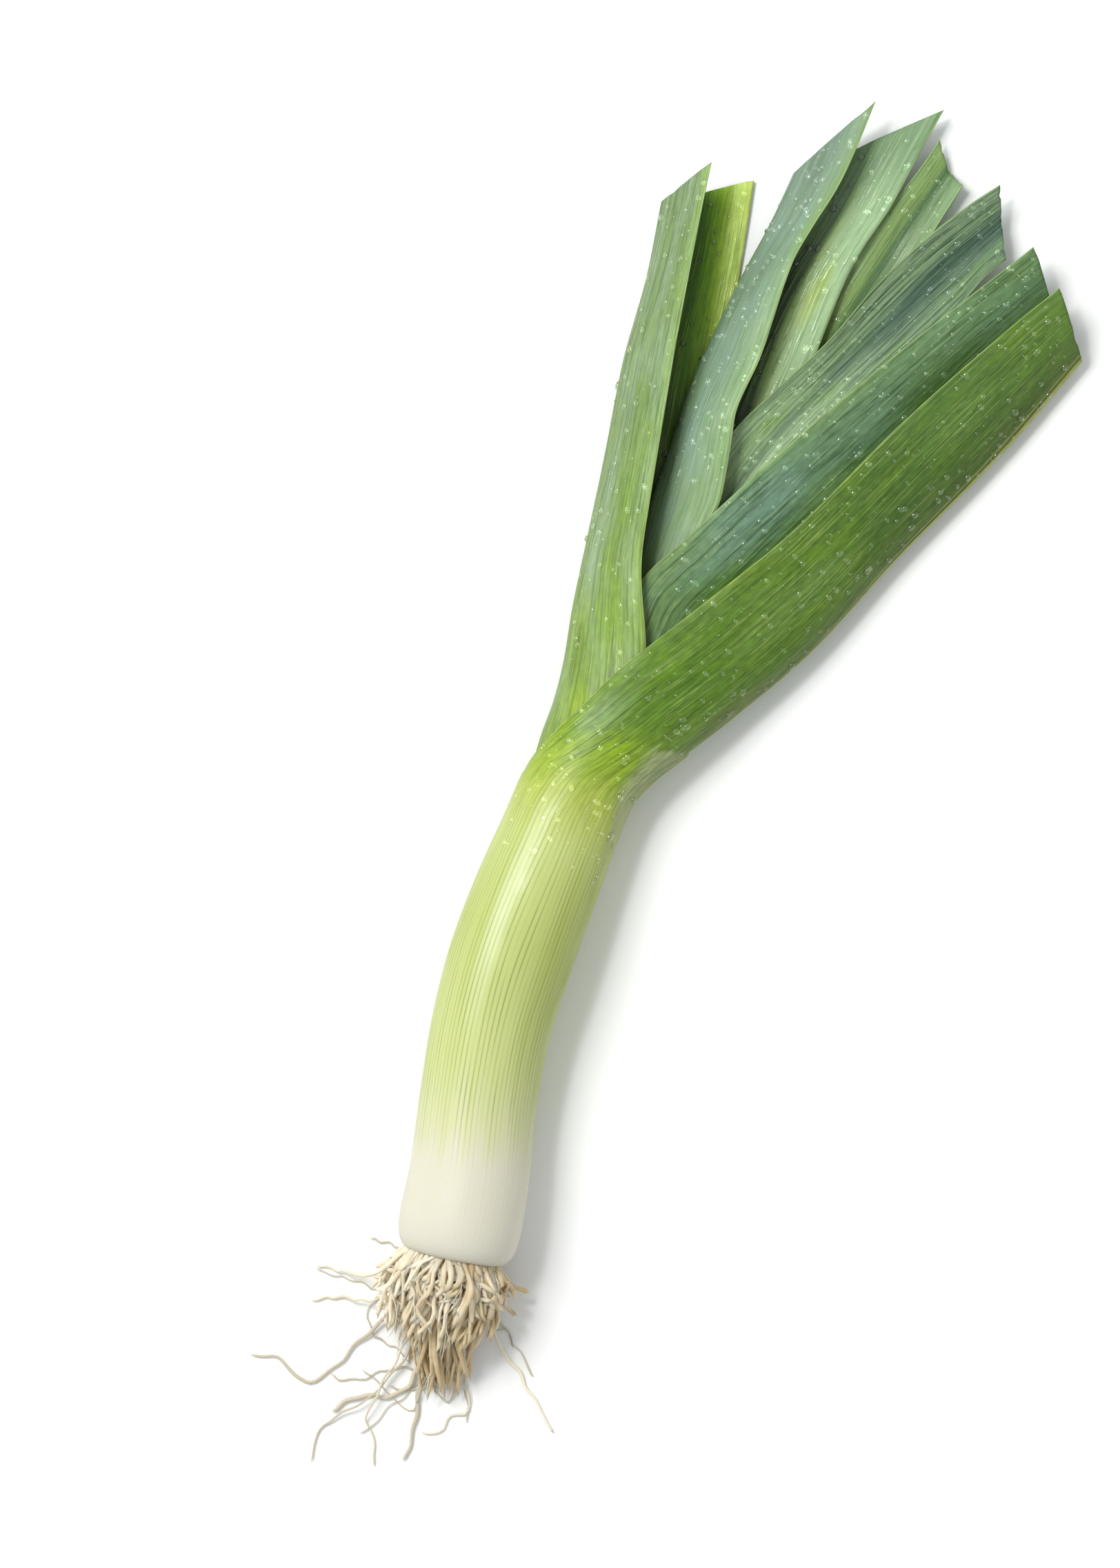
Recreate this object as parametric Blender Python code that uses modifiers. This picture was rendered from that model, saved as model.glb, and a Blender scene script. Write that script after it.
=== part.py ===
"""A trimmed leek lying on its side, as solids at real size.

The shaft of rolled leaf sheaths, the root bunch under it, and six leaves that leave the neck by turns
to the right and to the left, each folded along its keel. +Z is up and the leek lies on the plane Z = 0,
with its roots towards -Y and its leaf tips towards +Y. The origin is under the middle of the leek's box.

Run it with blender --background --python part.py, or from Blender's text editor.
"""

import bisect
import math
import random
from dataclasses import dataclass

import bmesh
import bpy
from mathutils import Vector

MM = 0.001
UP = Vector((0, 0, 1))

# The shaft's middle line in plan, from the base to the neck, and its radius by the distance from the
# base. Every length in this file is in millimetres.
SHAFT_LINE = (
    (-77.0, -170.0),
    (-74.2, -156.0),
    (-71.3, -139.8),
    (-68.0, -112.3),
    (-63.5, -87.0),
    (-57.0, -63.8),
    (-47.5, -38.0),
    (-38.0, -14.8),
    (-31.5, 1.5),
)
SHAFT_RADII = (
    (0, 17.4),
    (1.5, 19.4),
    (4.5, 21.2),
    (10, 22.2),
    (17, 22.3),
    (32, 21.8),
    (58, 21.3),
    (85, 21.7),
    (110, 22.3),
    (135, 22.0),
    (158, 21.1),
    (180, 20.8),
)
SHAFT_HEIGHTS = ((0, 22.0), (32, 21.5), (58, 21.0), (85, 21.4), (110, 22.0), (135, 20.9), (165, 18.7), (180, 18.4))
SHAFT_SIDES = 24
SHAFT_STATIONS = 18
BASE_STATIONS = (0, 1.5, 4.5, 10)
NECK_FLATNESS = 0.88

# Where a sheath starts, the shaft steps down by its thickness: distance past the neck, radius before
# the step and radius after it. The young heart ends inside the third sheath.
STEPS = ((-12.0, 20.8, 18.6), (-7.0, 18.6, 16.6), (14.0, 13.4, 11.0), (22.0, 9.6, 0))

# The leaves
BLADE_THICKNESS = 1.2
LOWEST_SHEET = 0.65
KEEL_ROUNDING = 0.09  # the share of a half's width that the fold's curve takes up
ROW_CROWDING = 1.45  # over 1 crowds a leaf's rows towards the neck

# The roots
PLATE_RADIUS = 16.0
PLATE_DEPTH = 6.0
GAP = 0.3
SHORT_ROOTS = 84
ROOT_SEED = 12
TRAILING_ROOTS = (
    (1.0, (-95, -188, 7), (-109, -200, 2.2), (-123, -214, 1.2), (-132, -218, 1.1), (-141.5, -209, 1.1),
     (-152.3, -208, 1.0)),
    (1.35, (-84, -196, 6), (-93, -217.8, 2), (-100.5, -223, 1.5), (-112, -223, 1.4), (-122.5, -228.5, 1.3)),
    (0.7, (-90, -200, 5), (-104, -219.5, 4.2), (-115, -227.5, 3.2), (-124.7, -233.2, 1), (-128.2, -241, 0.9),
     (-130, -247.8, 0.9)),
    (0.7, (-92, -198, 6), (-107.7, -226.5, 4.2), (-109.2, -232.5, 1), (-106.7, -239.7, 0.9),
     (-106.2, -248.8, 0.9)),
    (1.2, (-82, -198, 5), (-88.7, -213.5, 2.4), (-91, -228, 1.4), (-93, -239.7, 1.3), (-96, -246.7, 1.2)),
    (1.0, (-66, -190, 6), (-60.7, -204.7, 2), (-55.7, -211.2, 1.2), (-50.5, -220, 1.1), (-43.2, -232.5, 1),
     (-41, -236.2, 1)),
    (0.8, (-74, -196, 6), (-77, -213.5, 2), (-72.5, -220.7, 1.1), (-73.2, -229.5, 1), (-79.2, -230.7, 1),
     (-82.7, -236.5, 1), (-89, -236, 0.9)),
    (0.8, (-94, -183, 12), (-109, -187.7, 5), (-119.5, -186.7, 1.4), (-129.5, -187.7, 1)),
    (0.8, (-92, -177, 16), (-105.5, -178.2, 9), (-119.5, -177, 2), (-127.5, -174.8, 1)),
)


def smooth(knots, values, x):
    """The value at x of a smooth curve that passes through the values, which stand at the knots."""
    x = min(max(x, knots[0]), knots[-1])
    i = min(bisect.bisect_right(knots, x) - 1, len(knots) - 2)

    def slope(j):
        before, after = max(j - 1, 0), min(j + 1, len(knots) - 1)
        return (values[after] - values[before]) * (1 / (knots[after] - knots[before]))

    span = knots[i + 1] - knots[i]
    t = (x - knots[i]) / span
    return (
        values[i] * (2 * t**3 - 3 * t**2 + 1)
        + slope(i) * (span * (t**3 - 2 * t**2 + t))
        + values[i + 1] * (3 * t**2 - 2 * t**3)
        + slope(i + 1) * (span * (t**3 - t**2))
    )


def ease(x):
    """0 below 0, 1 above 1, and a smooth step between."""
    x = min(max(x, 0.0), 1.0)
    return x * x * (3 - 2 * x)


def ramp(x):
    """0 below 0 and x above it, with the corner rounded."""
    if abs(x) >= KEEL_ROUNDING:
        return max(x, 0.0)
    return (x + KEEL_ROUNDING) ** 2 / (4 * KEEL_ROUNDING)


def table(rows, x):
    """The smooth curve through rows of (knot, value), read at x."""
    knots, values = zip(*rows)
    return smooth(knots, values, x)


class Line:
    """A smooth line through a few points, read by the share of its length."""

    def __init__(self, points):
        self.points = [Vector(p).to_3d() for p in points]
        knots = [0.0]
        for a, b in zip(self.points, self.points[1:]):
            knots.append(knots[-1] + (b - a).length)
        self.length = knots[-1]
        self.knots = [k / self.length for k in knots]

    def at(self, share):
        return smooth(self.knots, self.points, share)


class Stem:
    """The line that the shaft's rings stand on: curved up to the neck, then straight on."""

    def __init__(self):
        self.line = Line(SHAFT_LINE)
        self.length = self.line.length
        self.neck = self.line.at(1.0)
        self.run = Vector((0.39, 0.92, 0)).normalized()

    def radius(self, past_neck):
        return table(SHAFT_RADII, self.length + past_neck)

    def flatness(self, past_neck):
        """Height over width: the shaft is round, and the neck is a little flattened."""
        return 1 - (1 - NECK_FLATNESS) * ease((past_neck + 60) / 60)

    def frame(self, past_neck):
        """The ring's centre and the level direction to its right, at a distance past the neck."""
        if past_neck < 0:
            share = 1 + past_neck / self.length
            centre = self.line.at(share)
            run = self.line.at(min(share + 0.01, 1.0)) - self.line.at(max(share - 0.01, 0.0))
            run = run.normalized().lerp(self.run, ease((past_neck + 12) / 12))
        else:
            run = self.run
            centre = self.neck + run * past_neck
        centre.z = table(SHAFT_HEIGHTS, self.length + past_neck)
        return centre, Vector((run.y, -run.x, 0)).normalized()

    def point(self, past_neck, radius, angle):
        """A point on a ring; 0 is its right side, a quarter turn its top."""
        centre, right = self.frame(past_neck)
        rise = radius * self.flatness(past_neck) * math.sin(angle)
        return centre + right * (radius * math.cos(angle)) + UP * rise


STEM = Stem()


@dataclass
class Leaf:
    """A leaf: a sheath round the heart, then a blade folded along its keel.

    keel, upper and lower are the lines of its keel and its two margins, from where the blade begins;
    the heights of upper and lower are those of the fold's crest and of its underside. wrap lists how
    far each half reaches round from the keel, in degrees, by the distance along the keel, and under
    the same for the lower half where that differs. round gives how round the fold is at the neck and at
    the tip, from 0, a V, to 1, a U. A channel leaf lies open side up, its keel below, with upper as its
    left margin and lower as its right one. A leaf with a sheath has its ring's radius, the side its keel
    is on and the length of that sheath.
    """

    name: str
    keel: tuple
    upper: tuple
    lower: tuple
    wrap: tuple
    round: tuple
    under: tuple = ()
    rows: int = 16
    columns: int = 8
    channel: bool = False
    ring: float = 0.0
    side: int = 1
    sheath_length: float = 0.0

    def __post_init__(self):
        self.lines = [Line(points) for points in (self.keel, self.upper, self.lower)]
        self.length = self.lines[0].length

    def sheath(self, past_neck, across):
        angle = math.radians(self.wrap[0][1]) * across
        if self.side < 0:
            angle = math.pi - angle
        return STEM.point(past_neck, self.ring, angle)

    def blade(self, distance, across):
        share = min(max(distance / self.length, 0.0), 1.0)
        keel, upper, lower = (line.at(share) for line in self.lines)
        sharp = keel + (upper - keel) * ramp(across) + (lower - keel) * ramp(-across)
        reach = (upper if across > 0 else lower) - keel
        rise = UP * reach.z
        wrap = math.radians(table(self.wrap if across > 0 else self.under or self.wrap, distance))
        turn = abs(across) * wrap
        if self.channel:
            rounded = keel + (reach - rise) * (math.sin(turn) / math.sin(wrap))
            rounded += rise * ((1 - math.cos(turn)) / (1 - math.cos(wrap)))
        else:
            rounded = keel + (reach - rise) * ((1 - math.cos(turn)) / (1 - math.cos(wrap)))
            rounded += rise * math.sin(turn)
        return sharp.lerp(rounded, self.round[0] + (self.round[1] - self.round[0]) * share)

    def place(self, along, across):
        """A point of the leaf's middle surface; along runs from 0 to 1, across from -1 to 1."""
        distance = (self.length + self.sheath_length) * along**ROW_CROWDING - self.sheath_length
        point = self.blade(distance, across)
        if self.sheath_length:
            point = self.sheath(distance, across).lerp(point, ease(distance / 6))
        point.z = max(point.z, LOWEST_SHEET)
        return point


LEAVES = (
    Leaf(
        name="leaf_1_right",
        keel=(
            (-12.9, -6.4, 18.4),
            (-6.0, 1.5, 16.8),
            (4.5, 9.8, 15.0),
            (23.7, 24.5, 12.5),
            (52.8, 48.8, 10.0),
            (84.0, 82.3, 8.0),
            (122.0, 120.3, 6.5),
            (151.9, 154.8, 6.0),
        ),
        upper=(
            (-49.8, 9.3, 36.2),
            (-40.0, 20.6, 36.0),
            (-29.7, 30.1, 35.9),
            (-18.9, 40.7, 35.6),
            (-7.5, 50.0, 34.8),
            (15.5, 68.0, 32.5),
            (46.2, 92.5, 28.5),
            (87.4, 134.0, 24.0),
            (127.8, 168.8, 21.0),
            (142.8, 180.8, 20.0),
        ),
        lower=(
            (-49.8, 9.3, 0.4),
            (-43.3, 11.9, -1.2),
            (-31.7, 11.3, -1.5),
            (-26.3, 12.3, -1.5),
            (-20.0, 18.4, -1.5),
            (-8.1, 36.1, -1.5),
            (14.0, 60.0, -1.5),
            (47.0, 86.0, -1.5),
            (86.0, 126.0, -1.5),
            (138.0, 171.0, -1.5),
        ),
        wrap=((0, 170), (14, 136), (24, 121), (41, 105), (60, 90), (240, 90)),
        under=((0, 170), (4, 140), (8, 112), (12, 95), (20, 90), (240, 90)),
        round=(1.0, 0.55),
        rows=22,
        columns=16,
        ring=20.2,
        sheath_length=11.6,
    ),
    Leaf(
        name="leaf_2_left",
        keel=(
            (-48.0, 8.5, 18.4),
            (-45.4, 18.2, 16.8),
            (-40.8, 30.8, 15.0),
            (-37.0, 46.1, 13.0),
            (-34.0, 65.3, 11.0),
            (-28.8, 90.3, 8.5),
            (-22.3, 121.5, 6.5),
            (-15.8, 155.3, 5.0),
            (-7.3, 186.0, 3.5),
            (-2.1, 213.1, 2.8),
        ),
        upper=(
            (-15.3, -5.4, 34.1),
            (-10.8, 7.9, 33.3),
            (-8.9, 20.2, 32.3),
            (-8.1, 35.0, 31.5),
            (-7.5, 50.0, 31.2),
            (-9.0, 78.8, 31.5),
            (-6.0, 102.5, 32.0),
            (2.3, 155.3, 30.0),
            (8.3, 186.0, 28.0),
            (16.4, 225.8, 25.0),
        ),
        lower=(
            (-15.3, -5.4, 2.6),
            (-10.8, 7.9, 2.6),
            (-7.5, 19.6, 2.7),
            (-3.0, 32.9, 2.7),
            (2.0, 50.0, 2.8),
            (9.0, 80.0, 2.8),
            (15.0, 110.0, 2.4),
            (20.0, 145.0, 2.0),
            (26.0, 180.0, 1.6),
            (32.5, 222.3, 1.4),
        ),
        wrap=((0, 170), (14, 148), (26, 125), (40, 105), (55, 90), (240, 90)),
        round=(1.0, 0.15),
        rows=22,
        columns=16,
        ring=17.9,
        side=-1,
        sheath_length=6.6,
    ),
    Leaf(
        name="leaf_3_right",
        keel=(
            (-14.1, 9.7, 18.1),
            (-5.0, 20.4, 15.8),
            (8.4, 35.0, 13.5),
            (28.5, 54.8, 11.5),
            (58.5, 82.3, 10.0),
            (91.0, 114.8, 9.0),
            (118.5, 143.8, 8.0),
            (143.0, 167.0, 7.5),
        ),
        upper=(
            (-37.3, 19.5, 29.4),
            (-26.5, 28.7, 28.5),
            (-20.0, 46.6, 26.8),
            (-14.5, 59.5, 26.0),
            (-9.0, 74.5, 26.0),
            (7.0, 89.5, 25.5),
            (32.3, 113.3, 23.0),
            (64.3, 141.0, 21.0),
            (107.0, 175.5, 19.0),
            (133.5, 196.4, 18.0),
        ),
        lower=(
            (-37.3, 19.5, 6.9),
            (-25.6, 28.3, 5.8),
            (-10.8, 42.7, 5.2),
            (0.2, 53.2, 4.8),
            (7.0, 66.6, 4.6),
            (18.0, 88.0, 4.4),
            (42.0, 112.0, 3.8),
            (72.0, 138.0, 3.4),
            (104.0, 166.0, 3.0),
            (131.0, 188.0, 2.8),
        ),
        wrap=((0, 165), (13, 125), (32, 100), (46, 90), (240, 90)),
        round=(1.0, 0.5),
        columns=12,
    ),
    Leaf(
        name="leaf_4_left",
        keel=(
            (-29.8, 25.1, 17.5),
            (-23.4, 41.5, 14.0),
            (-15.0, 65.1, 11.0),
            (-10.0, 85.0, 9.8),
            (-6.0, 101.8, 9.0),
            (1.8, 124.8, 8.2),
            (6.3, 140.0, 7.6),
            (12.5, 155.3, 7.0),
            (20.5, 172.1, 6.6),
            (28.0, 187.3, 6.2),
            (37.8, 205.6, 5.8),
            (45.8, 223.0, 5.4),
        ),
        upper=(
            (-16.0, 19.3, 24.2),
            (-10.4, 36.0, 23.5),
            (-1.1, 59.2, 22.5),
            (9.2, 82.0, 21.8),
            (19.0, 102.5, 21.5),
            (21.0, 111.0, 21.8),
            (23.3, 124.8, 23.0),
            (25.5, 137.0, 24.0),
            (34.3, 155.8, 24.0),
            (45.8, 189.5, 24.0),
            (52.8, 202.3, 23.0),
            (62.0, 217.3, 22.0),
            (69.0, 232.3, 20.0),
            (75.8, 248.8, 18.0),
        ),
        lower=(
            (-16.0, 19.3, 10.8),
            (-7.6, 34.8, 10.2),
            (5.8, 56.3, 9.9),
            (19.3, 77.7, 9.8),
            (36.0, 110.0, 9.6),
            (46.0, 135.0, 9.2),
            (55.5, 159.5, 8.6),
            (61.0, 174.0, 8.4),
            (66.5, 187.0, 8.4),
            (72.0, 196.5, 8.6),
            (82.3, 211.6, 8.6),
            (94.0, 232.9, 8.6),
            (101.8, 246.8, 8.4),
        ),
        wrap=((0, 165), (18, 115), (42, 90), (260, 90)),
        round=(1.0, 0.2),
    ),
    Leaf(
        name="leaf_5_right",
        keel=(
            (-22.8, 22.1, 13.4),
            (-15.4, 38.1, 13.0),
            (-4.3, 60.6, 12.6),
            (8.2, 82.4, 12.2),
            (22.0, 103.0, 11.6),
            (39.0, 126.0, 11.0),
            (60.0, 148.0, 10.6),
            (82.0, 169.5, 10.2),
            (101.0, 187.5, 9.6),
            (122.5, 206.0, 8.6),
        ),
        upper=(
            (-27.3, 24.0, 17.6),
            (-20.0, 40.1, 17.2),
            (-9.8, 62.9, 16.0),
            (1.3, 85.3, 16.0),
            (12.0, 108.0, 16.0),
            (24.0, 128.3, 16.0),
            (41.3, 145.5, 16.0),
            (58.5, 161.8, 16.5),
            (75.8, 181.4, 17.0),
            (94.3, 198.8, 16.0),
            (110.5, 211.4, 15.0),
            (121.5, 218.8, 14.0),
        ),
        lower=(
            (-18.2, 20.2, 17.6),
            (-10.8, 36.2, 17.2),
            (1.2, 58.2, 16.0),
            (14.7, 79.7, 15.5),
            (25.5, 94.8, 15.0),
            (41.0, 112.8, 14.5),
            (66.0, 137.8, 14.0),
            (88.5, 157.8, 13.5),
            (107.0, 175.5, 13.0),
            (116.3, 186.0, 12.0),
            (123.8, 191.8, 11.0),
        ),
        wrap=((0, 80), (40, 60), (240, 50)),
        round=(1.0, 0.6),
        channel=True,
    ),
    Leaf(
        name="leaf_6_right",
        keel=(
            (-20.9, 21.3, 8.1),
            (-12.2, 36.8, 7.2),
            (0.3, 58.6, 6.6),
            (18.6, 88.9, 6.2),
            (36.4, 119.4, 5.4),
            (51.0, 147.8, 4.2),
            (66.5, 171.3, 3.6),
            (87.0, 202.0, 3.4),
            (103.5, 225.3, 3.4),
        ),
        upper=(
            (-24.6, 22.9, 8.9),
            (-17.7, 39.1, 8.2),
            (-5.2, 61.0, 8.0),
            (13.1, 91.2, 7.8),
            (30.9, 121.7, 7.2),
            (46.0, 145.3, 6.0),
            (56.0, 167.8, 5.4),
            (64.8, 185.3, 5.2),
            (82.3, 211.8, 5.6),
            (94.0, 227.5, 6.5),
            (99.8, 236.3, 7.0),
        ),
        lower=(
            (-16.3, 19.4, 9.5),
            (-7.6, 34.8, 8.6),
            (5.8, 56.3, 8.2),
            (24.1, 86.5, 7.8),
            (41.9, 117.0, 7.2),
            (56.0, 135.3, 6.4),
            (71.0, 160.3, 5.8),
            (83.5, 180.3, 6.4),
            (95.0, 198.3, 7.0),
            (108.5, 219.3, 7.5),
        ),
        wrap=((0, 60), (240, 60)),
        round=(1.0, 0.5),
        channel=True,
        columns=6,
    ),
)


def grid_sheet(rows, columns, place):
    """A sheet of rows by columns of quads, each corner where place(along, across) puts it."""
    sheet = bmesh.new()
    bmesh.ops.create_grid(sheet, x_segments=rows, y_segments=columns, size=1)
    for vertex in sheet.verts:
        along, across = (vertex.co.x + 1) / 2, vertex.co.y
        vertex.co = place(along, across) * MM
    return sheet


def finish(name, mesh, colour, roughness):
    """An object of the mesh, with its own plain material, in the leek's collection."""
    mesh.shade_smooth()
    mesh.set_sharp_from_angle(angle=math.radians(40))
    skin = bpy.data.materials.new(name)
    skin.use_nodes = True
    shader = skin.node_tree.nodes["Principled BSDF"]
    shader.inputs["Base Color"].default_value = (*colour, 1)
    shader.inputs["Roughness"].default_value = roughness
    mesh.materials.clear()
    mesh.materials.append(skin)
    part = bpy.data.objects.new(name, mesh)
    bpy.data.collections["leek"].objects.link(part)
    return part


def mesh_of(name, sheet):
    mesh = bpy.data.meshes.new(name)
    sheet.to_mesh(mesh)
    sheet.free()
    return mesh


def shaft_stations():
    """Pairs of a distance past the neck and the shaft's radius there, from the base to the heart."""
    stations = [(d - STEM.length, STEM.radius(d - STEM.length)) for d in BASE_STATIONS]
    start, end = stations[-1][0], STEPS[0][0]
    for i in range(1, SHAFT_STATIONS):
        past_neck = start + (end - start) * i / SHAFT_STATIONS
        stations.append((past_neck, STEM.radius(past_neck)))
    for i, (past_neck, before, after) in enumerate(STEPS):
        stations.append((past_neck, before))
        if after:
            stations.append((past_neck, after))
        if i == 1:
            stations.append((3.0, 15.4))
    return stations


def make_shaft():
    """The rolled sheaths as one body, cut in steps where the leaves' own sheaths start."""
    stations = shaft_stations()
    rows = len(stations) - 1

    def place(along, across):
        past_neck, radius = stations[round(along * rows)]
        angle = math.pi * (across + 1 / SHAFT_SIDES) - math.pi / 2
        point = STEM.point(past_neck, radius, angle)
        point.z = max(point.z, 0.0)
        return point

    tube = grid_sheet(rows, SHAFT_SIDES, place)
    bmesh.ops.remove_doubles(tube, verts=tube.verts, dist=0.01 * MM)
    bmesh.ops.holes_fill(tube, edges=[e for e in tube.edges if e.is_boundary], sides=0)
    bmesh.ops.recalc_face_normals(tube, faces=tube.faces)
    finish("shaft", mesh_of("shaft", tube), (0.62, 0.68, 0.30), 0.4)


def make_leaf(leaf):
    """The leaf's middle surface, folded, and a wall of the blade's thickness."""
    sheet = grid_sheet(leaf.rows, leaf.columns, leaf.place)
    bmesh.ops.triangulate(sheet, faces=sheet.faces)
    part = finish(leaf.name, mesh_of(leaf.name, sheet), (0.10, 0.26, 0.09), 0.45)
    wall = part.modifiers.new("blade", "SOLIDIFY")
    wall.thickness = BLADE_THICKNESS * MM
    wall.offset = 0


def root_strand(name, radius, points):
    """One root: a four-sided rod through the points that thins to its end."""
    path = bpy.data.curves.new(name, "CURVE")
    path.dimensions = "3D"
    path.bevel_depth = radius * MM
    path.bevel_resolution = 0
    path.use_fill_caps = True
    spline = path.splines.new("POLY")
    spline.points.add(len(points) - 1)
    for i, (place, knot) in enumerate(zip(points, spline.points)):
        knot.co = (*(Vector(place) * MM), 1)
        knot.radius = 1 - 0.45 * i / (len(points) - 1)
    rod = bpy.data.objects.new(name, path)
    mesh = bpy.data.meshes.new_from_object(rod)
    bpy.data.objects.remove(rod)
    solid = bmesh.new()
    solid.from_mesh(mesh)
    bmesh.ops.remove_doubles(solid, verts=solid.verts, dist=0.001 * MM)
    bmesh.ops.recalc_face_normals(solid, faces=solid.faces)
    solid.to_mesh(mesh)
    solid.free()
    return bpy.data.objects.new(name, mesh)


def short_root(draw, number, plate, away, right):
    """The points of one of the crowded roots: it leaves the plate sideways, bulges, droops and curls in.

    The middle ones are the longest and hang the lowest.
    """
    share = math.sqrt((number + 0.5) / SHORT_ROOTS)
    turn = number * math.radians(137.508)
    lift = math.sin(turn)
    out = right * math.cos(turn) + UP * (lift * (0.45 if lift > 0 else 0.9))
    length = draw.uniform(0.84, 1.12) * (43 - 14 * share)
    bulge = 11.5 * share * draw.uniform(0.6, 1.1)
    droop = draw.uniform(4, 9) + 8 * (1 - share)
    lean = length * draw.uniform(-0.02, 0.16)
    start = plate + away * (0.45 * PLATE_DEPTH) + out * (0.84 * PLATE_RADIUS * share)
    late = 0.35 * share
    points = []
    for i in range(5):
        t = i / 4
        point = start + out * (bulge * math.sin(2.2 * t))
        point += away * (length * (t * (1 - late) + t * t * late))
        point -= UP * (droop * t * t) + right * (lean * t * t)
        point += Vector([draw.uniform(-1, 1) for _ in range(3)]) * (2.2 * t)
        point.z = max(point.z, 1.3)
        points.append(point)
    return points


def make_roots():
    """The basal plate and its roots, fused into one body."""
    draw = random.Random(ROOT_SEED)
    base, right = STEM.frame(-STEM.length)
    away = Vector((-right.y, right.x, 0)) * -1
    plate = base + away * GAP
    core = bmesh.new()
    bmesh.ops.create_cone(
        core,
        cap_ends=True,
        segments=20,
        radius1=PLATE_RADIUS * MM,
        radius2=0.7 * PLATE_RADIUS * MM,
        depth=PLATE_DEPTH * MM,
    )
    turned = UP.rotation_difference(away).to_matrix()
    bmesh.ops.rotate(core, verts=core.verts, matrix=turned)
    bmesh.ops.translate(core, verts=core.verts, vec=(plate + away * (PLATE_DEPTH / 2)) * MM)
    roots = finish("roots", mesh_of("roots", core), (0.66, 0.57, 0.42), 0.7)

    strands = bpy.data.collections.new("root strands")
    bpy.context.scene.collection.children.link(strands)
    rods = [(1.25, short_root(draw, i, plate, away, right)) for i in range(SHORT_ROOTS)]
    for radius, first, *rest in TRAILING_ROOTS:
        start = plate + away * (0.5 * PLATE_DEPTH)
        start += (Vector(first) - start).normalized() * 3
        rods.append((radius, [start, first, *rest]))
    for i, (radius, points) in enumerate(rods):
        strands.objects.link(root_strand(f"root {i}", radius, points))
    union = roots.modifiers.new("roots", "BOOLEAN")
    union.operation = "UNION"
    union.operand_type = "COLLECTION"
    union.collection = strands
    union.solver = "MANIFOLD"
    scene = bpy.context.evaluated_depsgraph_get()
    fused = bpy.data.meshes.new_from_object(roots.evaluated_get(scene))
    roots.modifiers.clear()
    roots.data = fused
    for rod in list(strands.objects):
        bpy.data.objects.remove(rod)
    bpy.data.collections.remove(strands)


def main():
    for old in list(bpy.data.objects):
        bpy.data.objects.remove(old)
    group = bpy.data.collections.new("leek")
    bpy.context.scene.collection.children.link(group)
    make_shaft()
    make_roots()
    for leaf in LEAVES:
        make_leaf(leaf)


main()
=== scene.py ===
"""How the leek looks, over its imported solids.

Six waxy leaves with their lengthwise veins, the outer one going on down as the silky skin of the shaft, a
bunch of dry cream roots under it, and small water drops on the green. The leek lies on a pale floor under
soft light from its upper left, and the camera looks straight down. Lengths are in millimetres until they
reach a mesh.
"""

import bisect
import logging
import math
import random
from dataclasses import dataclass, field, replace
from enum import Enum

import bmesh
import bpy
from mathutils import Matrix, Vector

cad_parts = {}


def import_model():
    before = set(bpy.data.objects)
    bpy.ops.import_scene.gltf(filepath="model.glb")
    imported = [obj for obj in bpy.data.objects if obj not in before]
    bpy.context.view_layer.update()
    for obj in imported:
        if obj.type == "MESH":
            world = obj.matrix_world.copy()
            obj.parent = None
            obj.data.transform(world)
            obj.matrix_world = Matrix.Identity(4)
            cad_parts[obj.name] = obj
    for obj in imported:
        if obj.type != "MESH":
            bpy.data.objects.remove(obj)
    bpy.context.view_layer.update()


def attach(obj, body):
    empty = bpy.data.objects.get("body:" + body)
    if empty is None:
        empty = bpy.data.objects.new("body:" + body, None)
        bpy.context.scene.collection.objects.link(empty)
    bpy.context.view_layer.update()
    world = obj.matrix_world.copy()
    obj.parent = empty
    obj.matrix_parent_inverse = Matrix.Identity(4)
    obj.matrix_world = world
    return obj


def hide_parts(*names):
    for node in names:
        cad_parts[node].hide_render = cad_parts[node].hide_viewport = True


LOG = logging.getLogger("leek")
MM = 0.001
UP = Vector((0.0, 0.0, 1.0))
ROOT_BODY = "root"
LEAF_MM = "leaf_mm"
STRAND = "strand"
GOLDEN_ANGLE = math.radians(137.508)

Knots = tuple[tuple[float, ...], ...]


class Fold(Enum):
    """How a leaf lies: folded along a keel at its side, or open side up as a channel."""

    SIDEWAYS = "sideways"
    CHANNEL = "channel"


class Side(Enum):
    """The side of the stem that a leaf's keel is on."""

    RIGHT = 1
    LEFT = -1


def smooth(knots: tuple, values: tuple, x: float) -> float | Vector:
    """Reads a smooth curve.

    Args:
        knots: rising numbers.
        values: what the curve passes through at the knots, as numbers or vectors.
        x: where to read it.

    Returns:
        The curve's value at x, kept between the first and the last knot.
    """
    x = min(max(x, knots[0]), knots[-1])
    i = min(bisect.bisect_right(knots, x) - 1, len(knots) - 2)
    slopes = []
    for j in (i, i + 1):
        before, after = max(j - 1, 0), min(j + 1, len(knots) - 1)
        slopes.append((values[after] - values[before]) * (1 / (knots[after] - knots[before])))
    span = knots[i + 1] - knots[i]
    t = (x - knots[i]) / span
    return (
        values[i] * (2 * t**3 - 3 * t**2 + 1)
        + slopes[0] * (span * (t**3 - 2 * t**2 + t))
        + values[i + 1] * (3 * t**2 - 2 * t**3)
        + slopes[1] * (span * (t**3 - t**2))
    )


def table(rows: Knots, x: float) -> float:
    """Reads the smooth curve through rows of (knot, value) at x."""
    knots, values = zip(*rows)
    return smooth(knots, values, x)


def ease(x: float) -> float:
    """Returns 0 below 0, 1 above 1, and a smooth step between."""
    x = min(max(x, 0.0), 1.0)
    return x * x * (3 - 2 * x)


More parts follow.
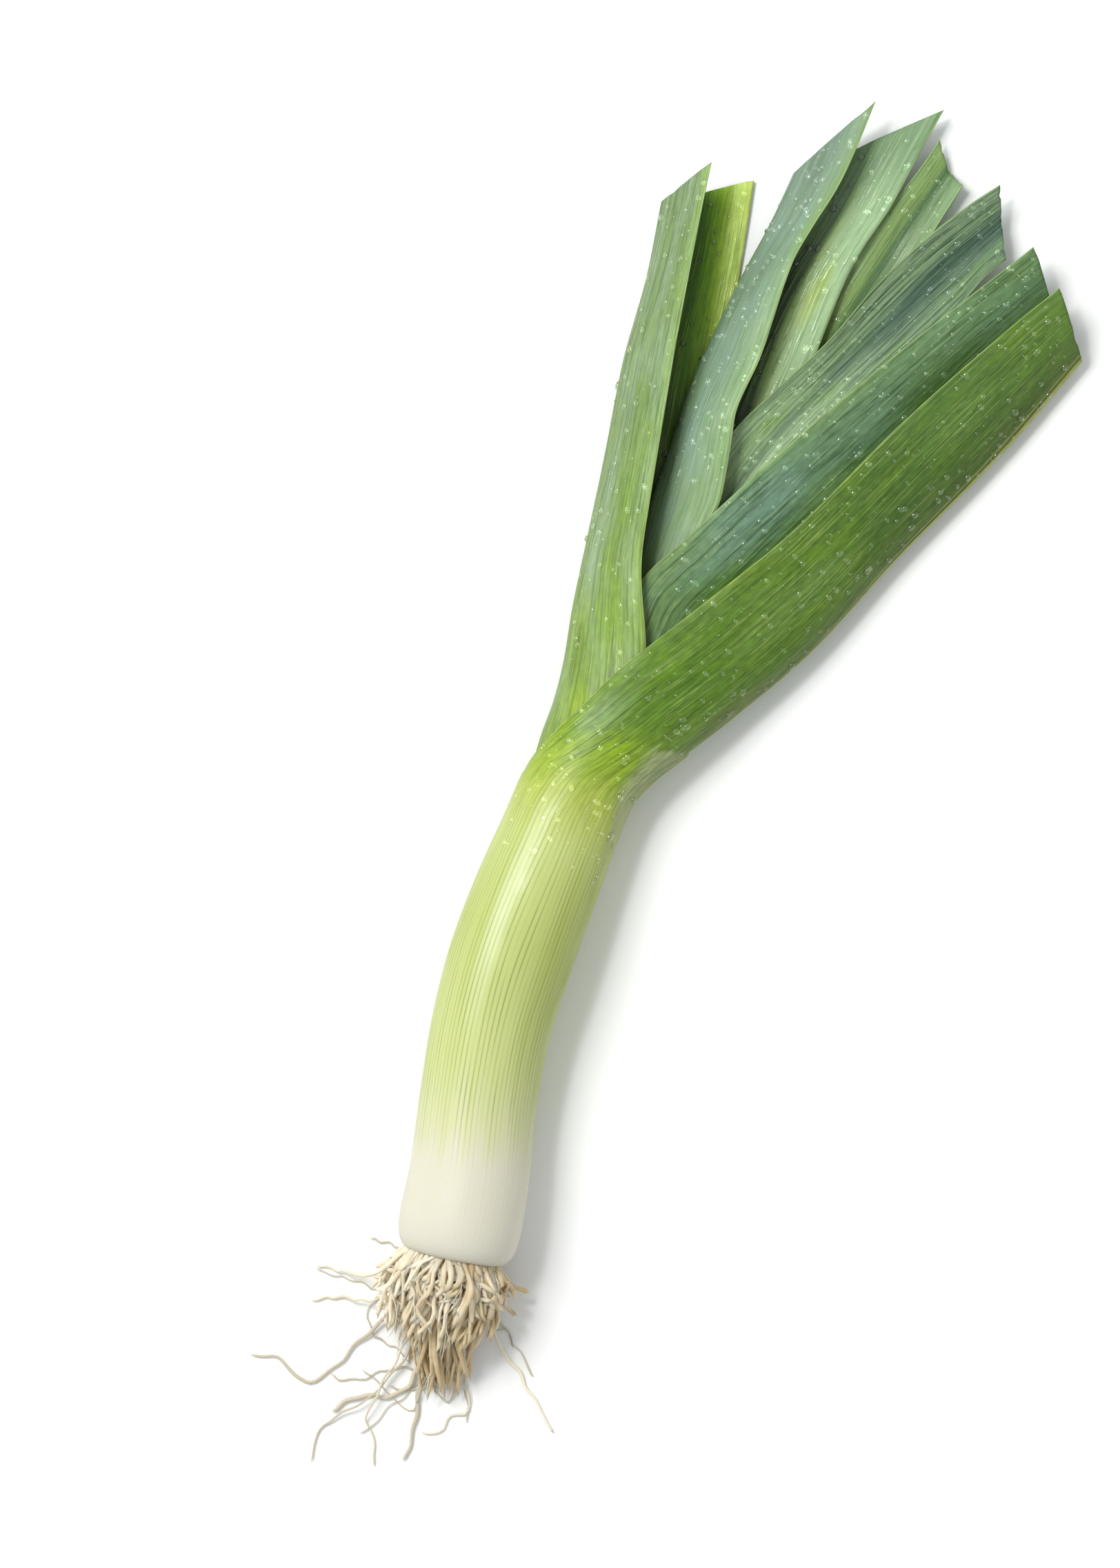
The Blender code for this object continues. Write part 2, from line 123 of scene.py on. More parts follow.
def ramp(x: float, corner: float) -> float:
    """Rounds the corner of a line that is 0 below 0 and rises from there.

    Args:
        x: where to read it.
        corner: how far on both sides of 0 it is rounded.

    Returns:
        The line's value at x.
    """
    if abs(x) >= corner:
        return max(x, 0.0)
    return (x + corner) ** 2 / (4 * corner)


def linear(code: str) -> tuple[float, float, float, float]:
    """Turns an sRGB hex colour into linear RGBA.

    Args:
        code: the colour, such as "#8FA84A".

    Returns:
        Its linear red, green and blue, and an alpha of 1.
    """
    parts = [int(code[i : i + 2], 16) / 255 for i in (1, 3, 5)]
    rgb = [c / 12.92 if c <= 0.04045 else ((c + 0.055) / 1.055) ** 2.4 for c in parts]
    return (rgb[0], rgb[1], rgb[2], 1.0)


class Net:
    """A material's node tree, and how nodes are added to it."""

    def __init__(self, name: str) -> None:
        """Makes an empty node material.

        Args:
            name: the material's name.
        """
        self.material = bpy.data.materials.new(name)
        self.material.use_nodes = True
        self.tree = self.material.node_tree
        self.tree.nodes.clear()

    def add(self, kind: str, inputs: dict | None = None, stops: tuple = (),
            **settings: object) -> bpy.types.Node:
        """Adds a node with its settings, values and links.

        Args:
            kind: the node's type name after ShaderNode.
            inputs: what goes into its sockets, by name or number: a value, a colour's hex code, a socket to
                link from, or a node whose first output is linked.
            stops: a colour ramp's places from 0 to 1, rising, with their colours.
            settings: the node's own settings.

        Returns:
            The node.
        """
        node = self.tree.nodes.new("ShaderNode" + kind)
        for key, value in settings.items():
            setattr(node, key, value)
        for _ in stops[2:]:
            node.color_ramp.elements.new(1.0)
        for element, (at, colour) in zip(node.color_ramp.elements if stops else (), stops):
            element.position = at
            element.color = colour
        for key, value in (inputs or {}).items():
            if isinstance(value, bpy.types.Node):
                value = next(socket for socket in value.outputs if socket.enabled)
            if isinstance(value, bpy.types.NodeSocket):
                self.tree.links.new(value, node.inputs[key])
            else:
                node.inputs[key].default_value = linear(value) if isinstance(value, str) else value
        return node

    def lay(self, colour: str | bpy.types.Node, layers: list[tuple]) -> bpy.types.Node:
        """Lays colours over one another.

        Args:
            colour: the lowest colour.
            layers: each further colour with its shares from 0 to 1, which are multiplied.

        Returns:
            The node that gives the colour.
        """
        for paint, amount, *shares in layers:
            for share in shares:
                amount = self.add("Math", {0: amount, 1: share}, operation="MULTIPLY")
            colour = self.add("Mix", {0: amount, 6: colour, 7: paint}, data_type="RGBA")
        return colour


class Line:
    """A smooth line through a few points, read by the share of its length."""

    def __init__(self, points: Knots) -> None:
        """Measures the line through the points.

        Args:
            points: what it runs through.
        """
        self.points = tuple(Vector(p).to_3d() for p in points)
        knots = [0.0]
        for a, b in zip(self.points, self.points[1:]):
            knots.append(knots[-1] + (b - a).length)
        self.length = knots[-1]
        self.knots = tuple(k / self.length for k in knots)

    def at(self, share: float) -> Vector:
        """Returns the point at that share of the length."""
        return smooth(self.knots, self.points, share)


@dataclass
class Stem:
    """The middle line and the girth of the shaft, curved up to the neck and then straight on.

    Before the neck it turns into the leaves' direction over the distance straightens, and goes from round
    to slightly flat over the distance flattens.
    """

    plan: Knots = (
        (-77.0, -170.0), (-74.2, -156.0), (-71.3, -139.8), (-68.0, -112.3), (-63.5, -87.0),
        (-57.0, -63.8), (-47.5, -38.0), (-38.0, -14.8), (-31.5, 1.5),
    )
    radii: Knots = (
        (-0.8, 11.0), (-0.3, 15.6), (0, 17.4), (1.5, 19.4), (4.5, 21.2), (10, 22.2), (17, 22.3),
        (32, 21.8), (58, 21.3), (85, 21.7), (110, 22.3), (135, 22.0), (158, 21.1), (180, 20.8),
    )
    heights: Knots = (
        (0, 22.0), (32, 21.5), (58, 21.0), (85, 21.4), (110, 22.0), (135, 20.9), (165, 18.7), (180, 18.4),
    )
    neck_flatness: float = 0.88
    straightens: float = 12.0
    flattens: float = 60.0
    run: Vector = field(default_factory=lambda: Vector((0.39, 0.92, 0.0)).normalized())

    def __post_init__(self) -> None:
        """Fits the line through the plan."""
        self.line = Line(self.plan)
        self.length = self.line.length
        self.neck = self.line.at(1.0)

    def radius(self, past_neck: float) -> float:
        """Returns the shaft's radius at a distance past the neck."""
        return table(self.radii, self.length + past_neck)

    def frame(self, past_neck: float) -> tuple[Vector, Vector]:
        """Finds a ring's place.

        Args:
            past_neck: the distance past the neck, negative down the shaft.

        Returns:
            The ring's centre and the level direction to its right.
        """
        if past_neck < 0:
            share = max(1 + past_neck / self.length, 0.0)
            centre = self.line.at(share)
            run = self.line.at(min(share + 0.01, 1.0)) - self.line.at(max(share - 0.01, 0.0))
            turned = ease((past_neck + self.straightens) / self.straightens)
            run = run.normalized().lerp(self.run, turned)
            centre += run.normalized() * min(past_neck + self.length, 0.0)
        else:
            run = self.run
            centre = self.neck + run * past_neck
        centre.z = table(self.heights, self.length + past_neck)
        return centre, Vector((run.y, -run.x, 0)).normalized()

    def point(self, past_neck: float, radius: float, angle: float) -> Vector:
        """Finds a point on a ring of the shaft.

        Args:
            past_neck: the ring's distance past the neck.
            radius: its radius.
            angle: the point's angle from the ring's right side over its top.

        Returns:
            The point.
        """
        centre, right = self.frame(past_neck)
        flatness = 1 - (1 - self.neck_flatness) * ease((past_neck + self.flattens) / self.flattens)
        rise = radius * flatness * math.sin(angle)
        return centre + right * (radius * math.cos(angle)) + UP * rise


# The skin's patterns: how wide and how long their marks are, in millimetres, and their detail. The finest,
# the streaks between the veins, are a third of a millimetre wide on a real leaf, and twice that here.
PATTERNS = {
    "fray": (2.9, 167.0, 2.0),
    "patch": (7.7, 33.0, 4.0),
    "rubbed": (6.3, 22.0, 3.0),
    "wander": (14.0, 110.0, 1.0),
    "vigour": (2.4, 55.0, 2.0),
    "strokes": (0.87, 28.0, 3.0),
    "streak": (0.6, 33.0, 2.0),
    "mottle": (1.3, 4.5, 3.0),
    "stripe": (3.2, 150.0, 3.0),
}


class SkinNet(Net):
    """A leaf skin's node tree, with the places on the leaf and the noises that its layers share."""

    def __init__(self, name: str) -> None:
        """Reads the leaf's own map, across and along in millimetres, and adds the noises.

        Args:
            name: the material's name.
        """
        super().__init__(name)
        self.place = self.add("UVMap", uv_map=LEAF_MM)
        axes = self.add("SeparateXYZ", {0: self.place})
        self.across, self.along = axes.outputs[0], axes.outputs[1]
        self.from_keel = self.add("Math", {0: self.across}, operation="ABSOLUTE")
        # The blade's share is 0 on the shaft and 1 past the neck.
        self.blade = self.add("MapRange", {0: self.along, 1: -22.0, 2: 14.0})
        self.noises: dict[str, bpy.types.Node] = {}
        for pattern, (width, length, detail) in PATTERNS.items():
            at = self.add("VectorMath", {0: self.place, 1: (1 / width, 1 / length, 0.0)},
                          operation="MULTIPLY")
            self.noises[pattern] = self.add("TexNoise", {0: at, "Scale": 1.0, "Detail": detail})


@dataclass(frozen=True)
class LeafSkin:
    """Leek leaf skin, as it grew: a thin green skin over parallel veins, with a bluish bloom of wax.

    The wax makes the gloss broad and soft, and where it is rubbed off or wet the green is stronger and
    glossier. The veins show as fine dark lines a little over a millimetre apart, which run the leaf's
    length. stops gives the colour by the distance past the neck in millimetres, and bands lays colours
    over it by the place across the leaf, each with its strength: 0 is the keel and 1 or -1 a margin, or
    where hidden is given, 0.5 or -0.5 is where the lower half comes out from under the upper one, which
    is at a share across of hidden 60 mm and 213 mm past the neck. stains are single soft patches, most
    of them the skin's own colour and some painted highlight and painted shade: their place across and
    along, half width, half length, colour and strength. veins_from and bands_from are the distances past
    the neck over which they come in. A layer is a colour and the shares, from 0 to 1, that say how much
    of it is laid.
    """

    name: str
    stops: tuple[tuple[float, str], ...]
    bands: tuple[tuple[float, str, float], ...] = ()
    stains: tuple[tuple[float, float, float, float, str, float], ...] = ()
    hidden: tuple[float, float] = (0.5, 0.5)
    bands_from: tuple[float, float] = (-400.0, -300.0)
    vein: str = "#3C6530"
    shaft_vein: str = ""
    light: str = "#9CBF6A"
    wax: str = "#7A9E8A"
    fresh: str = "#6FA01E"
    edge: str = "#A9C27A"
    keel: str = "#7FA046"
    # The colour of the painted shade beside the keel.
    beside_keel: str = "#4A5A22"
    vein_share: float = 0.5
    light_share: float = 0.3
    wax_share: float = 0.4
    fresh_share: float = 0.0
    keel_share: float = 0.3
    pitch: float = 1.5
    wander: float = 3.0
    roughness: float = 0.42
    wet: float = 0.18
    shine: float = 0.32
    soft: float = 0.06
    half_width: float = 30.0
    veins_from: tuple[float, float] = (-400.0, -300.0)
    evenness: float = 0.25
    mottling: float = 0.6
    striping: float = 0.5
    keel_width: tuple[float, float] = (1.2, 1.2)
    cuff: str = ""

    def ground(self, net: SkinNet) -> bpy.types.Node:
        """Adds the main colours, which change along the leaf.

        Args:
            net: the skin's node tree.

        Returns:
            The node that gives them.
        """
        # Neighbouring veins change colour at slightly different heights, within about 12 mm.
        shift = net.add("Math", {0: net.noises["fray"], 1: 24.0, 2: net.along}, operation="MULTIPLY_ADD")
        low, high = self.stops[0][0], self.stops[-1][0]
        share = net.add("MapRange", {0: shift, 1: low + 12, 2: high + 12})
        rows = tuple(((at - low) / (high - low), linear(code)) for at, code in self.stops)
        return net.add("ValToRGB", {0: share}, stops=rows)

    def waxed(self, net: SkinNet) -> list[tuple]:
        """Adds the wax, and the places that it is rubbed off.

        Args:
            net: the skin's node tree.

        Returns:
            Their layers.
        """
        layers = []
        for noise, low, high, strength, code in (
            ("patch", 0.4, 0.66, self.wax_share, self.wax),
            ("rubbed", 0.52, 0.68, self.fresh_share, self.fresh),
        ):
            amount = net.add("MapRange", {0: net.noises[noise], 1: low, 2: high, 4: strength})
            layers.append((code, amount, net.blade))
        return layers

    def banded(self, net: SkinNet) -> tuple:
        """Adds the bands across the leaf.

        Args:
            net: the skin's node tree.

        Returns:
            Their layer.
        """
        near, far = (2 * share * self.half_width for share in self.hidden)
        comes_out = net.add("MapRange", {0: net.along, 1: 60.0, 2: 213.0, 3: near, 4: far})
        place = net.add("Math", {0: net.across, 1: comes_out}, operation="DIVIDE")
        share = net.add("MapRange", {0: place, 1: -1.0, 2: 1.0})
        rows = tuple(((at + 1) / 2, (*linear(code)[:3], strength)) for at, code, strength in self.bands)
        band = net.add("ValToRGB", {0: share}, stops=rows)
        grown = net.add("MapRange", {0: net.along, 1: self.bands_from[0], 2: self.bands_from[1]})
        return band, band.outputs[1], grown

    def stain_and_painted_light_layers(self, net: SkinNet) -> list[tuple]:
        """Adds the single soft patches, with frayed ends: most are the skin's own colour, and some are
        painted highlight and painted shade.

        Args:
            net: the skin's node tree.

        Returns:
            Their layers.
        """
        layers = []
        for u, v, width, length, code, strength in self.stains:
            apart = net.add("VectorMath", {0: net.place, 1: (u, v, 0.0)}, operation="SUBTRACT")
            apart = net.add("VectorMath", {0: apart, 1: (1 / width, 1 / length, 0.0)},
                            operation="MULTIPLY")
            apart = net.add("VectorMath", {0: apart}, operation="LENGTH").outputs["Value"]
            ragged = net.add("Math", {0: net.noises["fray"], 1: 1.2, 2: apart}, operation="MULTIPLY_ADD")
            amount = net.add("MapRange", {0: ragged, 1: 0.85, 2: 1.75, 3: strength, 4: 0.0})
            layers.append((code, amount))
        return layers

    def cuffed(self, net: SkinNet) -> tuple:
        """Adds an older skin's dull cuff, which clings to the keel up to a tear.

        Args:
            net: the skin's node tree.

        Returns:
            Its layer.
        """
        width = net.add("MapRange", {0: net.along, 1: -10.0, 2: 28.0, 3: 10.0, 4: 21.0})
        share = net.add("Math", {0: net.from_keel, 1: width}, operation="DIVIDE")
        amount = net.add("MapRange", {0: share, 1: 0.8, 2: 1.1, 3: 0.8, 4: 0.0})
        tear = net.add("Math", {0: net.across, 1: 0.3, 2: net.along}, operation="MULTIPLY_ADD")
        tear = net.add("Math", {0: net.noises["fray"], 1: 14.0, 2: tear}, operation="MULTIPLY_ADD")
        ends = [net.add("MapRange", {0: tear, 1: low, 2: high})
                for low, high in ((-19.0, 3.0), (37.0, 35.4))]
        return self.cuff, amount, *ends

    def vein_lines(self, net: SkinNet) -> bpy.types.Node:
        """Adds the veins, which wander and whose strength comes and goes.

        Args:
            net: the skin's node tree.

        Returns:
            The node that gives them, from 0 to 1.
        """
        turn = net.add("Math", {0: net.noises["wander"], 1: self.wander, 2: net.across},
                       operation="MULTIPLY_ADD")
        wave = net.add("Math", {0: turn, 1: 2 * math.pi / self.pitch}, operation="MULTIPLY")
        crest = net.add("Math", {0: wave}, operation="SINE")
        even = net.add("MapRange", {0: crest, 1: 0.3, 2: 1.0})
        vigour = net.add("MapRange", {0: net.noises["vigour"], 1: 0.36, 2: 0.62, 3: 0.15})
        fading = net.add("MapRange", {0: net.along, 1: -20.0, 2: 40.0, 3: 1.0, 4: self.evenness})
        for share in (vigour, fading):
            even = net.add("Math", {0: even, 1: share}, operation="MULTIPLY")
        # On the blade they are crowded and uneven, and break up into strokes a few millimetres long.
        broken = net.add("MapRange", {0: net.noises["strokes"], 1: 0.49, 2: 0.64})
        broken = net.add("Math", {0: broken, 1: net.blade}, operation="MULTIPLY")
        return net.add("Math", {0: even, 1: broken}, operation="MAXIMUM")

    def keel_strip(self, net: SkinNet) -> tuple:
        """Adds the pale keel, and the painted shade of the fold: dark lines beside the keel and a band past
        them that fades out.

        Args:
            net: the skin's node tree.

        Returns:
            Their layer.
        """
        near, far = (4 * width for width in self.keel_width)
        width = net.add("MapRange", {0: net.along, 1: 50.0, 2: 235.0, 3: near, 4: far})
        share = net.add("Math", {0: net.from_keel, 1: width}, operation="DIVIDE")
        # The dark stops are painted shade beside the rounded keel, where the fold turns under.
        pale, dark = linear(self.keel)[:3], linear(self.beside_keel)[:3]
        strip = net.add("ValToRGB", {0: share}, stops=tuple(
            (at, (*colour, strength * self.keel_share)) for at, colour, strength in (
                (0.0, pale, 1.0), (0.17, pale, 1.0), (0.2, dark, 0.85), (0.26, dark, 0.85),
                (0.29, pale, 0.6), (0.34, dark, 0.45), (1.0, dark, 0.0),
            )
        ))
        return strip, strip.outputs[1], net.blade

    def build(self) -> bpy.types.Material:
        """Makes the material: the main colours, the layers over them, and the veins' relief.

        Returns:
            The material.
        """
        net = SkinNet(self.name)
        veins = self.vein_lines(net)
        vein = net.lay(self.shaft_vein or self.vein, [(self.vein, net.blade)])
        start, end = self.veins_from
        begun = net.add("MapRange", {0: net.along, 1: start, 2: end})
        grown = net.add("MapRange", {0: net.along, 1: start, 2: end, 4: self.vein_share})
        light = net.add("MapRange", {0: net.noises["streak"], 1: 0.5, 2: 0.68, 4: self.light_share})
        margin = net.add("MapRange", {0: net.from_keel, 1: self.half_width - 0.5,
                                      2: self.half_width - 0.1, 4: 0.5})
        layers = self.waxed(net)
        layers += [self.banded(net)] if self.bands else []
        layers += self.stain_and_painted_light_layers(net)
        layers += [self.cuffed(net)] if self.cuff else []
        layers += [(vein, veins, grown), (self.light, light, begun), self.keel_strip(net),
                   (self.edge, margin, net.blade)]
        colour = net.lay(self.ground(net), layers)

        # Light and dark: small mottles, and stripes a few millimetres wide along the leaf.
        tone = -(self.mottling + self.striping) / 2
        for noise, strength in (("mottle", self.mottling), ("stripe", self.striping)):
            tone = net.add("Math", {0: net.noises[noise], 1: strength, 2: tone}, operation="MULTIPLY_ADD")
        tone = net.add("Math", {0: tone, 1: net.blade, 2: 1.0}, operation="MULTIPLY_ADD")
        colour = net.add("VectorMath", {0: colour, "Scale": tone}, operation="SCALE")

        at = net.add("TexCoord")
        grain = net.add("TexNoise", {0: at.outputs["Object"], "Scale": 900.0, "Detail": 2.0})
        raised = net.add("Math", {0: veins, 1: net.noises["streak"]}, operation="ADD")
        gentle = net.add("MapRange", {0: net.blade, 3: 0.3})
        raised = net.add("Math", {0: raised, 1: gentle}, operation="MULTIPLY")
        relief = net.add("Math", {0: grain, 1: 0.3, 2: raised}, operation="MULTIPLY_ADD")
        dry, wet = self.roughness + 0.12, self.roughness - self.wet
        rough = net.add("MapRange", {0: net.noises["rubbed"], 1: 0.35, 2: 0.62, 3: dry, 4: wet})
        net.add("OutputMaterial", {0: net.add("BsdfPrincipled", {
            "Base Color": colour, "Roughness": rough, "IOR": 1.45, "Specular IOR Level": self.shine,
            "Normal": net.add("Bump", {"Height": relief, "Strength": 0.6, "Distance": 0.16 * MM}),
            "Subsurface Weight": self.soft, "Subsurface Radius": (0.6, 1.0, 0.25), "Subsurface Scale": 0.002,
        })})
        return net.material


@dataclass(frozen=True)
class CutRim:
    """The cut or natural edge of a leaf: the pale, wet flesh between its two skins."""

    name: str
    colour: str
    deep: str

    def build(self) -> bpy.types.Material:
        """Makes the material, mottled at a millimetre's scale.

        Returns:
            The material.
        """
        net = Net(self.name)
        at = net.add("TexCoord")
        cells = net.add("TexNoise", {0: at.outputs["Object"], "Scale": 1100.0, "Detail": 3.0})
        net.add("OutputMaterial", {0: net.add("BsdfPrincipled", {
            "Base Color": net.lay(self.colour, [(self.deep, cells)]), "Roughness": 0.45, "IOR": 1.4,
            "Normal": net.add("Bump", {"Height": cells, "Strength": 0.3, "Distance": 0.1 * MM}),
            "Subsurface Weight": 0.2, "Subsurface Radius": (0.6, 1.0, 0.3), "Subsurface Scale": 0.002,
        })})
        return net.material


GREEN_RIM = CutRim("cut_leaf_rim", "#8FAE62", "#5E8240")
PALE_RIM = CutRim("pale_sheath_rim", "#A9BE6A", "#7A9A45")


@dataclass(frozen=True)
class RootSkin:
    """Leek root skin, half dried: dull cream going to straw, browner near the plate, with lengthwise
    wrinkles.
    """

    name: str = "dry_root_skin"
    pale: str = "#F5EBD4"
    straw: str = "#C6B189"
    brown_at_plate: str = "#94754C"
    bleached: str = "#B5AD99"

    def build(self) -> bpy.types.Material:
        """Makes the material from each root's own number, the way along it and the way round it.

        Returns:
            The material.
        """
        net = Net(self.name)
        place = net.add("Attribute", attribute_name=STRAND).outputs["Vector"]
        axes = net.add("SeparateXYZ", {0: place})
        number, along = axes.outputs[0], axes.outputs[1]
        at = net.add("TexCoord")
        blotch = net.add("TexNoise", {0: at.outputs["Object"], "Scale": 130.0, "Detail": 3.0})
        # The straw colour comes with each root's tone, which holds painted shade on the bunch's right and in
        # its middle besides the root's own dryness.
        straw_and_shade = net.add("Math", {0: number, 1: 0.6, 2: blotch}, operation="MULTIPLY_ADD")
        straw_and_shade = net.add("MapRange", {0: straw_and_shade, 1: 0.42, 2: 1.02})
        # Near the plate the roots are browner, more so the darker their tone.
        near_plate = net.add("MapRange", {0: along, 2: 0.2, 3: 0.6, 4: 0.0})
        thin = net.add("MapRange", {0: number, 1: -0.3, 2: -0.9, 4: 0.8})
        layers = [(self.straw, straw_and_shade), (self.brown_at_plate, near_plate, number), (self.bleached, thin)]
        colour = net.lay(self.pale, layers)
        folds = net.add("VectorMath", {0: place, 1: (40.0, 3.0, 2.0)}, operation="MULTIPLY")
        wrinkle = net.add("TexNoise", {0: folds, "Scale": 1.0, "Detail": 3.0})
        net.add("OutputMaterial", {0: net.add("BsdfPrincipled", {
            "Base Color": colour, "Roughness": 0.6, "Specular IOR Level": 0.4,
            "Normal": net.add("Bump", {"Height": wrinkle, "Strength": 0.6, "Distance": 0.25 * MM}),
            "Subsurface Weight": 0.45, "Subsurface Radius": (1.0, 0.8, 0.55), "Subsurface Scale": 0.002,
        })})
        return net.material


@dataclass(frozen=True)
class Water:
    """Clean water in small drops: clear, and so smooth that each has one small bright glint."""

    name: str = "clear_water"

    def build(self) -> bpy.types.Material:
        """Makes the material with water's own IOR.

        Returns:
            The material.
        """
        net = Net(self.name)
        net.add("OutputMaterial", {0: net.add("BsdfPrincipled", {
            "Base Color": "#FFFFFF", "Roughness": 0.03, "IOR": 1.33, "Transmission Weight": 1.0,
            "Coat Weight": 0.7, "Coat Roughness": 0.03, "Coat IOR": 1.8,
        })})
        return net.material


@dataclass(frozen=True)
class MattBoard:
    """White matt board, the pale floor."""

    name: str = "matt_white_board"
    colour: str = "#F4F5F3"

    def build(self) -> bpy.types.Material:
        """Makes the material, dull and even.

        Returns:
            The material.
        """
        net = Net(self.name)
        net.add("OutputMaterial", {0: net.add("BsdfPrincipled", {
            "Base Color": self.colour, "Roughness": 0.9, "Specular IOR Level": 0.1,
        })})
        return net.material


def put(name: str, data: bpy.types.ID) -> bpy.types.Object:
    """Puts a mesh, a light or a camera into the scene.

    Args:
        name: the object's name.
        data: what it shows.

    Returns:
        The object.
    """
    thing = bpy.data.objects.new(name, data)
    bpy.context.scene.collection.objects.link(thing)
    return thing


def mesh_object(name: str, sheet: bmesh.types.BMesh, materials: list) -> bpy.types.Object:
    """Makes an object of a finished mesh.

    Args:
        name: the object's name.
        sheet: its mesh, which is freed.
        materials: the materials of its slots.

    Returns:
        The object.
    """
    mesh = bpy.data.meshes.new(name)
    sheet.to_mesh(mesh)
    sheet.free()
    for material in materials:
        mesh.materials.append(material)
    return put(name, mesh)


def add_piece(name: str, sheet: bmesh.types.BMesh, materials: list, replaced: tuple) -> bpy.types.Object:
    """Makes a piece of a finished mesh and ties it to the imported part.

    Args:
        name: the piece's name.
        sheet: its mesh, which is freed.
        materials: the materials of its slots.
        replaced: the solids that it stands for.

    Returns:
        The piece's object.
    """
    piece = mesh_object(name, sheet, materials)
    piece.data.shade_smooth()
    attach(piece, ROOT_BODY)
    if replaced:
        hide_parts(*replaced)
    return piece


# Along a leaf, in millimetres past the neck or over a distance: where the sheath is closed, up to where
# the wall is full, how soon the blade leaves the sheath, and how much of the blade's end is nicked.
CLOSED_BELOW = -15
FULL_WALL_TO = -4
LEAVES_SHEATH = 6
NICKED = 6
# The cuff's tear, how far it stands out there and which way, and the share of the half width it takes.
CUFF_TEAR = 27.6
CUFF_STEP = 0.9
CUFF_OUT = Vector((0.75, -0.65, 0.0))
CUFF_SHARE = 0.2


@dataclass
class Leaf:
    """A leaf: a sheath round the stem, then a blade folded along its keel.

    lines are those of its keel, its upper margin and its lower one; the margins' heights are those of the
    fold's crest and of its underside. wrap lists how far each half reaches round from the keel, in degrees,
    by the distance along it, and under does so for the lower half where it differs. roundness gives how
    round the fold is at the neck and at the tip. ring is the sheath's radius at the neck, and opening the
    distance before the neck that it opens over. The bend there is eased over the distance easing. The wall
    is thinned to the share thin at the margins, over the distance thins.
    """

    name: str
    node: str
    lines: tuple[Knots, Knots, Knots]
    wrap: Knots
    roundness: tuple[float, float]
    half_width: float
    outer: LeafSkin
    inner: LeafSkin
    stem: Stem
    rim: CutRim = GREEN_RIM
    under: Knots = ()
    fold: Fold = Fold.SIDEWAYS
    side: Side = Side.RIGHT
    ring: float = 0.0
    sheath_length: float = 0.0
    rows: int = 170
    columns: int = 56
    wall: float = 0.85
    lowest: float = 0.5
    easing: float = 9.0
    opening: float = 14.0
    keel_corner: float = 0.09
    thin: float = 0.35
    thins: float = 5.0
    seed: float = 0.0

    def __post_init__(self) -> None:
        """Fits the three lines, and tells the skins how wide the leaf is."""
        self.fitted = [Line(points) for points in self.lines]
        self.length = self.fitted[0].length
        self.outer = replace(self.outer, half_width=self.half_width)
        self.inner = replace(self.inner, half_width=self.half_width)

    def sheath(self, past_neck: float, across: float) -> Vector:
        """Finds a point of the sheath, which wraps the stem all round below the neck.

        Args:
            past_neck: the distance past the neck.
            across: from -1 to 1 across the leaf.

        Returns:
            The point.
        """
        reach = 180 - (180 - self.wrap[0][1]) * ease((past_neck + self.opening) / self.opening)
        angle = math.radians(reach) * across
        if self.side is Side.LEFT:
            angle = math.pi - angle
        radius = self.ring + self.stem.radius(past_neck) - self.stem.radius(0)
        return self.stem.point(past_neck, radius, angle)

    def blade(self, distance: float, across: float) -> Vector:
        """Finds a point of the blade.

        Args:
            distance: the distance past the neck along the keel.
            across: from -1 to 1 across the leaf.

        Returns:
            The point.
        """
        share = min(max(distance / self.length, 0.0), 1.0)
        keel, upper, lower = (line.at(share) for line in self.fitted)
        sharp = keel + (upper - keel) * ramp(across, self.keel_corner)
        sharp += (lower - keel) * ramp(-across, self.keel_corner)
        reach = (upper if across > 0 else lower) - keel
        rise = UP * reach.z
        wrap = math.radians(table(self.wrap if across > 0 else self.under or self.wrap, distance))
        turn = abs(across) * wrap
        if self.fold is Fold.CHANNEL:
            rounded = keel + (reach - rise) * (math.sin(turn) / math.sin(wrap))
            rounded += rise * ((1 - math.cos(turn)) / (1 - math.cos(wrap)))
        else:
            rounded = keel + (reach - rise) * ((1 - math.cos(turn)) / (1 - math.cos(wrap)))
            rounded += rise * math.sin(turn)
        point = sharp.lerp(rounded, self.roundness[0] + (self.roundness[1] - self.roundness[0]) * share)
        return point + self.waver(distance, across)

    def waver(self, distance: float, across: float) -> Vector:
        """Works out the small wave that a grown blade has, strongest at its margins.

        Args:
            distance: the distance past the neck along the keel.
            across: from -1 to 1 across the leaf.

        Returns:
            How far it moves the point.
        """
        # Each wave is divided by its length over 2 pi and times its height, in millimetres.
        starts, grows = 30, 60
        grown = ease((distance - starts) / grows) * across * across
        s = self.seed + (2.1 if across > 0 else 0.0)
        lift = math.sin(distance / 11.0 + s) * 0.22 + math.sin(distance / 5.3 + 2.3 * s) * 0.08
        sway = math.sin(distance / 17.0 + 1.7 * s) * 0.35
        return Vector((sway * 0.6, -sway * 0.4, lift)) * grown

    def place(self, along: float, across: float) -> Vector:
        """Finds a point of the leaf's middle surface.

        Args:
            along: from 0 to 1 along the leaf.
            across: from -1 to 1 across it.

        Returns:
            The point.
        """
        distance = self.distance(along)
        # The cut end is nicked by up to half a millimetre, over the last few millimetres of the blade.
        nick = 0.35 * math.sin(across * 9 + self.seed) + 0.2 * math.sin(across * 23 + 3 * self.seed)
        distance += nick * ease((distance - self.length + NICKED) / NICKED)
        point = self.blade(distance, across)
        if self.sheath_length:
            point = self.sheath(distance, across).lerp(point, ease(distance / LEAVES_SHEATH))
        if self.outer.cuff:
            # The cuff stands proud of the skin beside the keel, and ends in a sharp step at its tear.
            proud = ease((distance + 6) / 22) * (1.0 if distance < CUFF_TEAR else 0.0)
            point += CUFF_OUT * (CUFF_STEP * proud * ease(1 - abs(across) / CUFF_SHARE))
        return point

    def distance(self, along: float) -> float:
        """Returns the distance along the keel, negative in the sheath."""
        return (self.length + self.sheath_length) * along - self.sheath_length

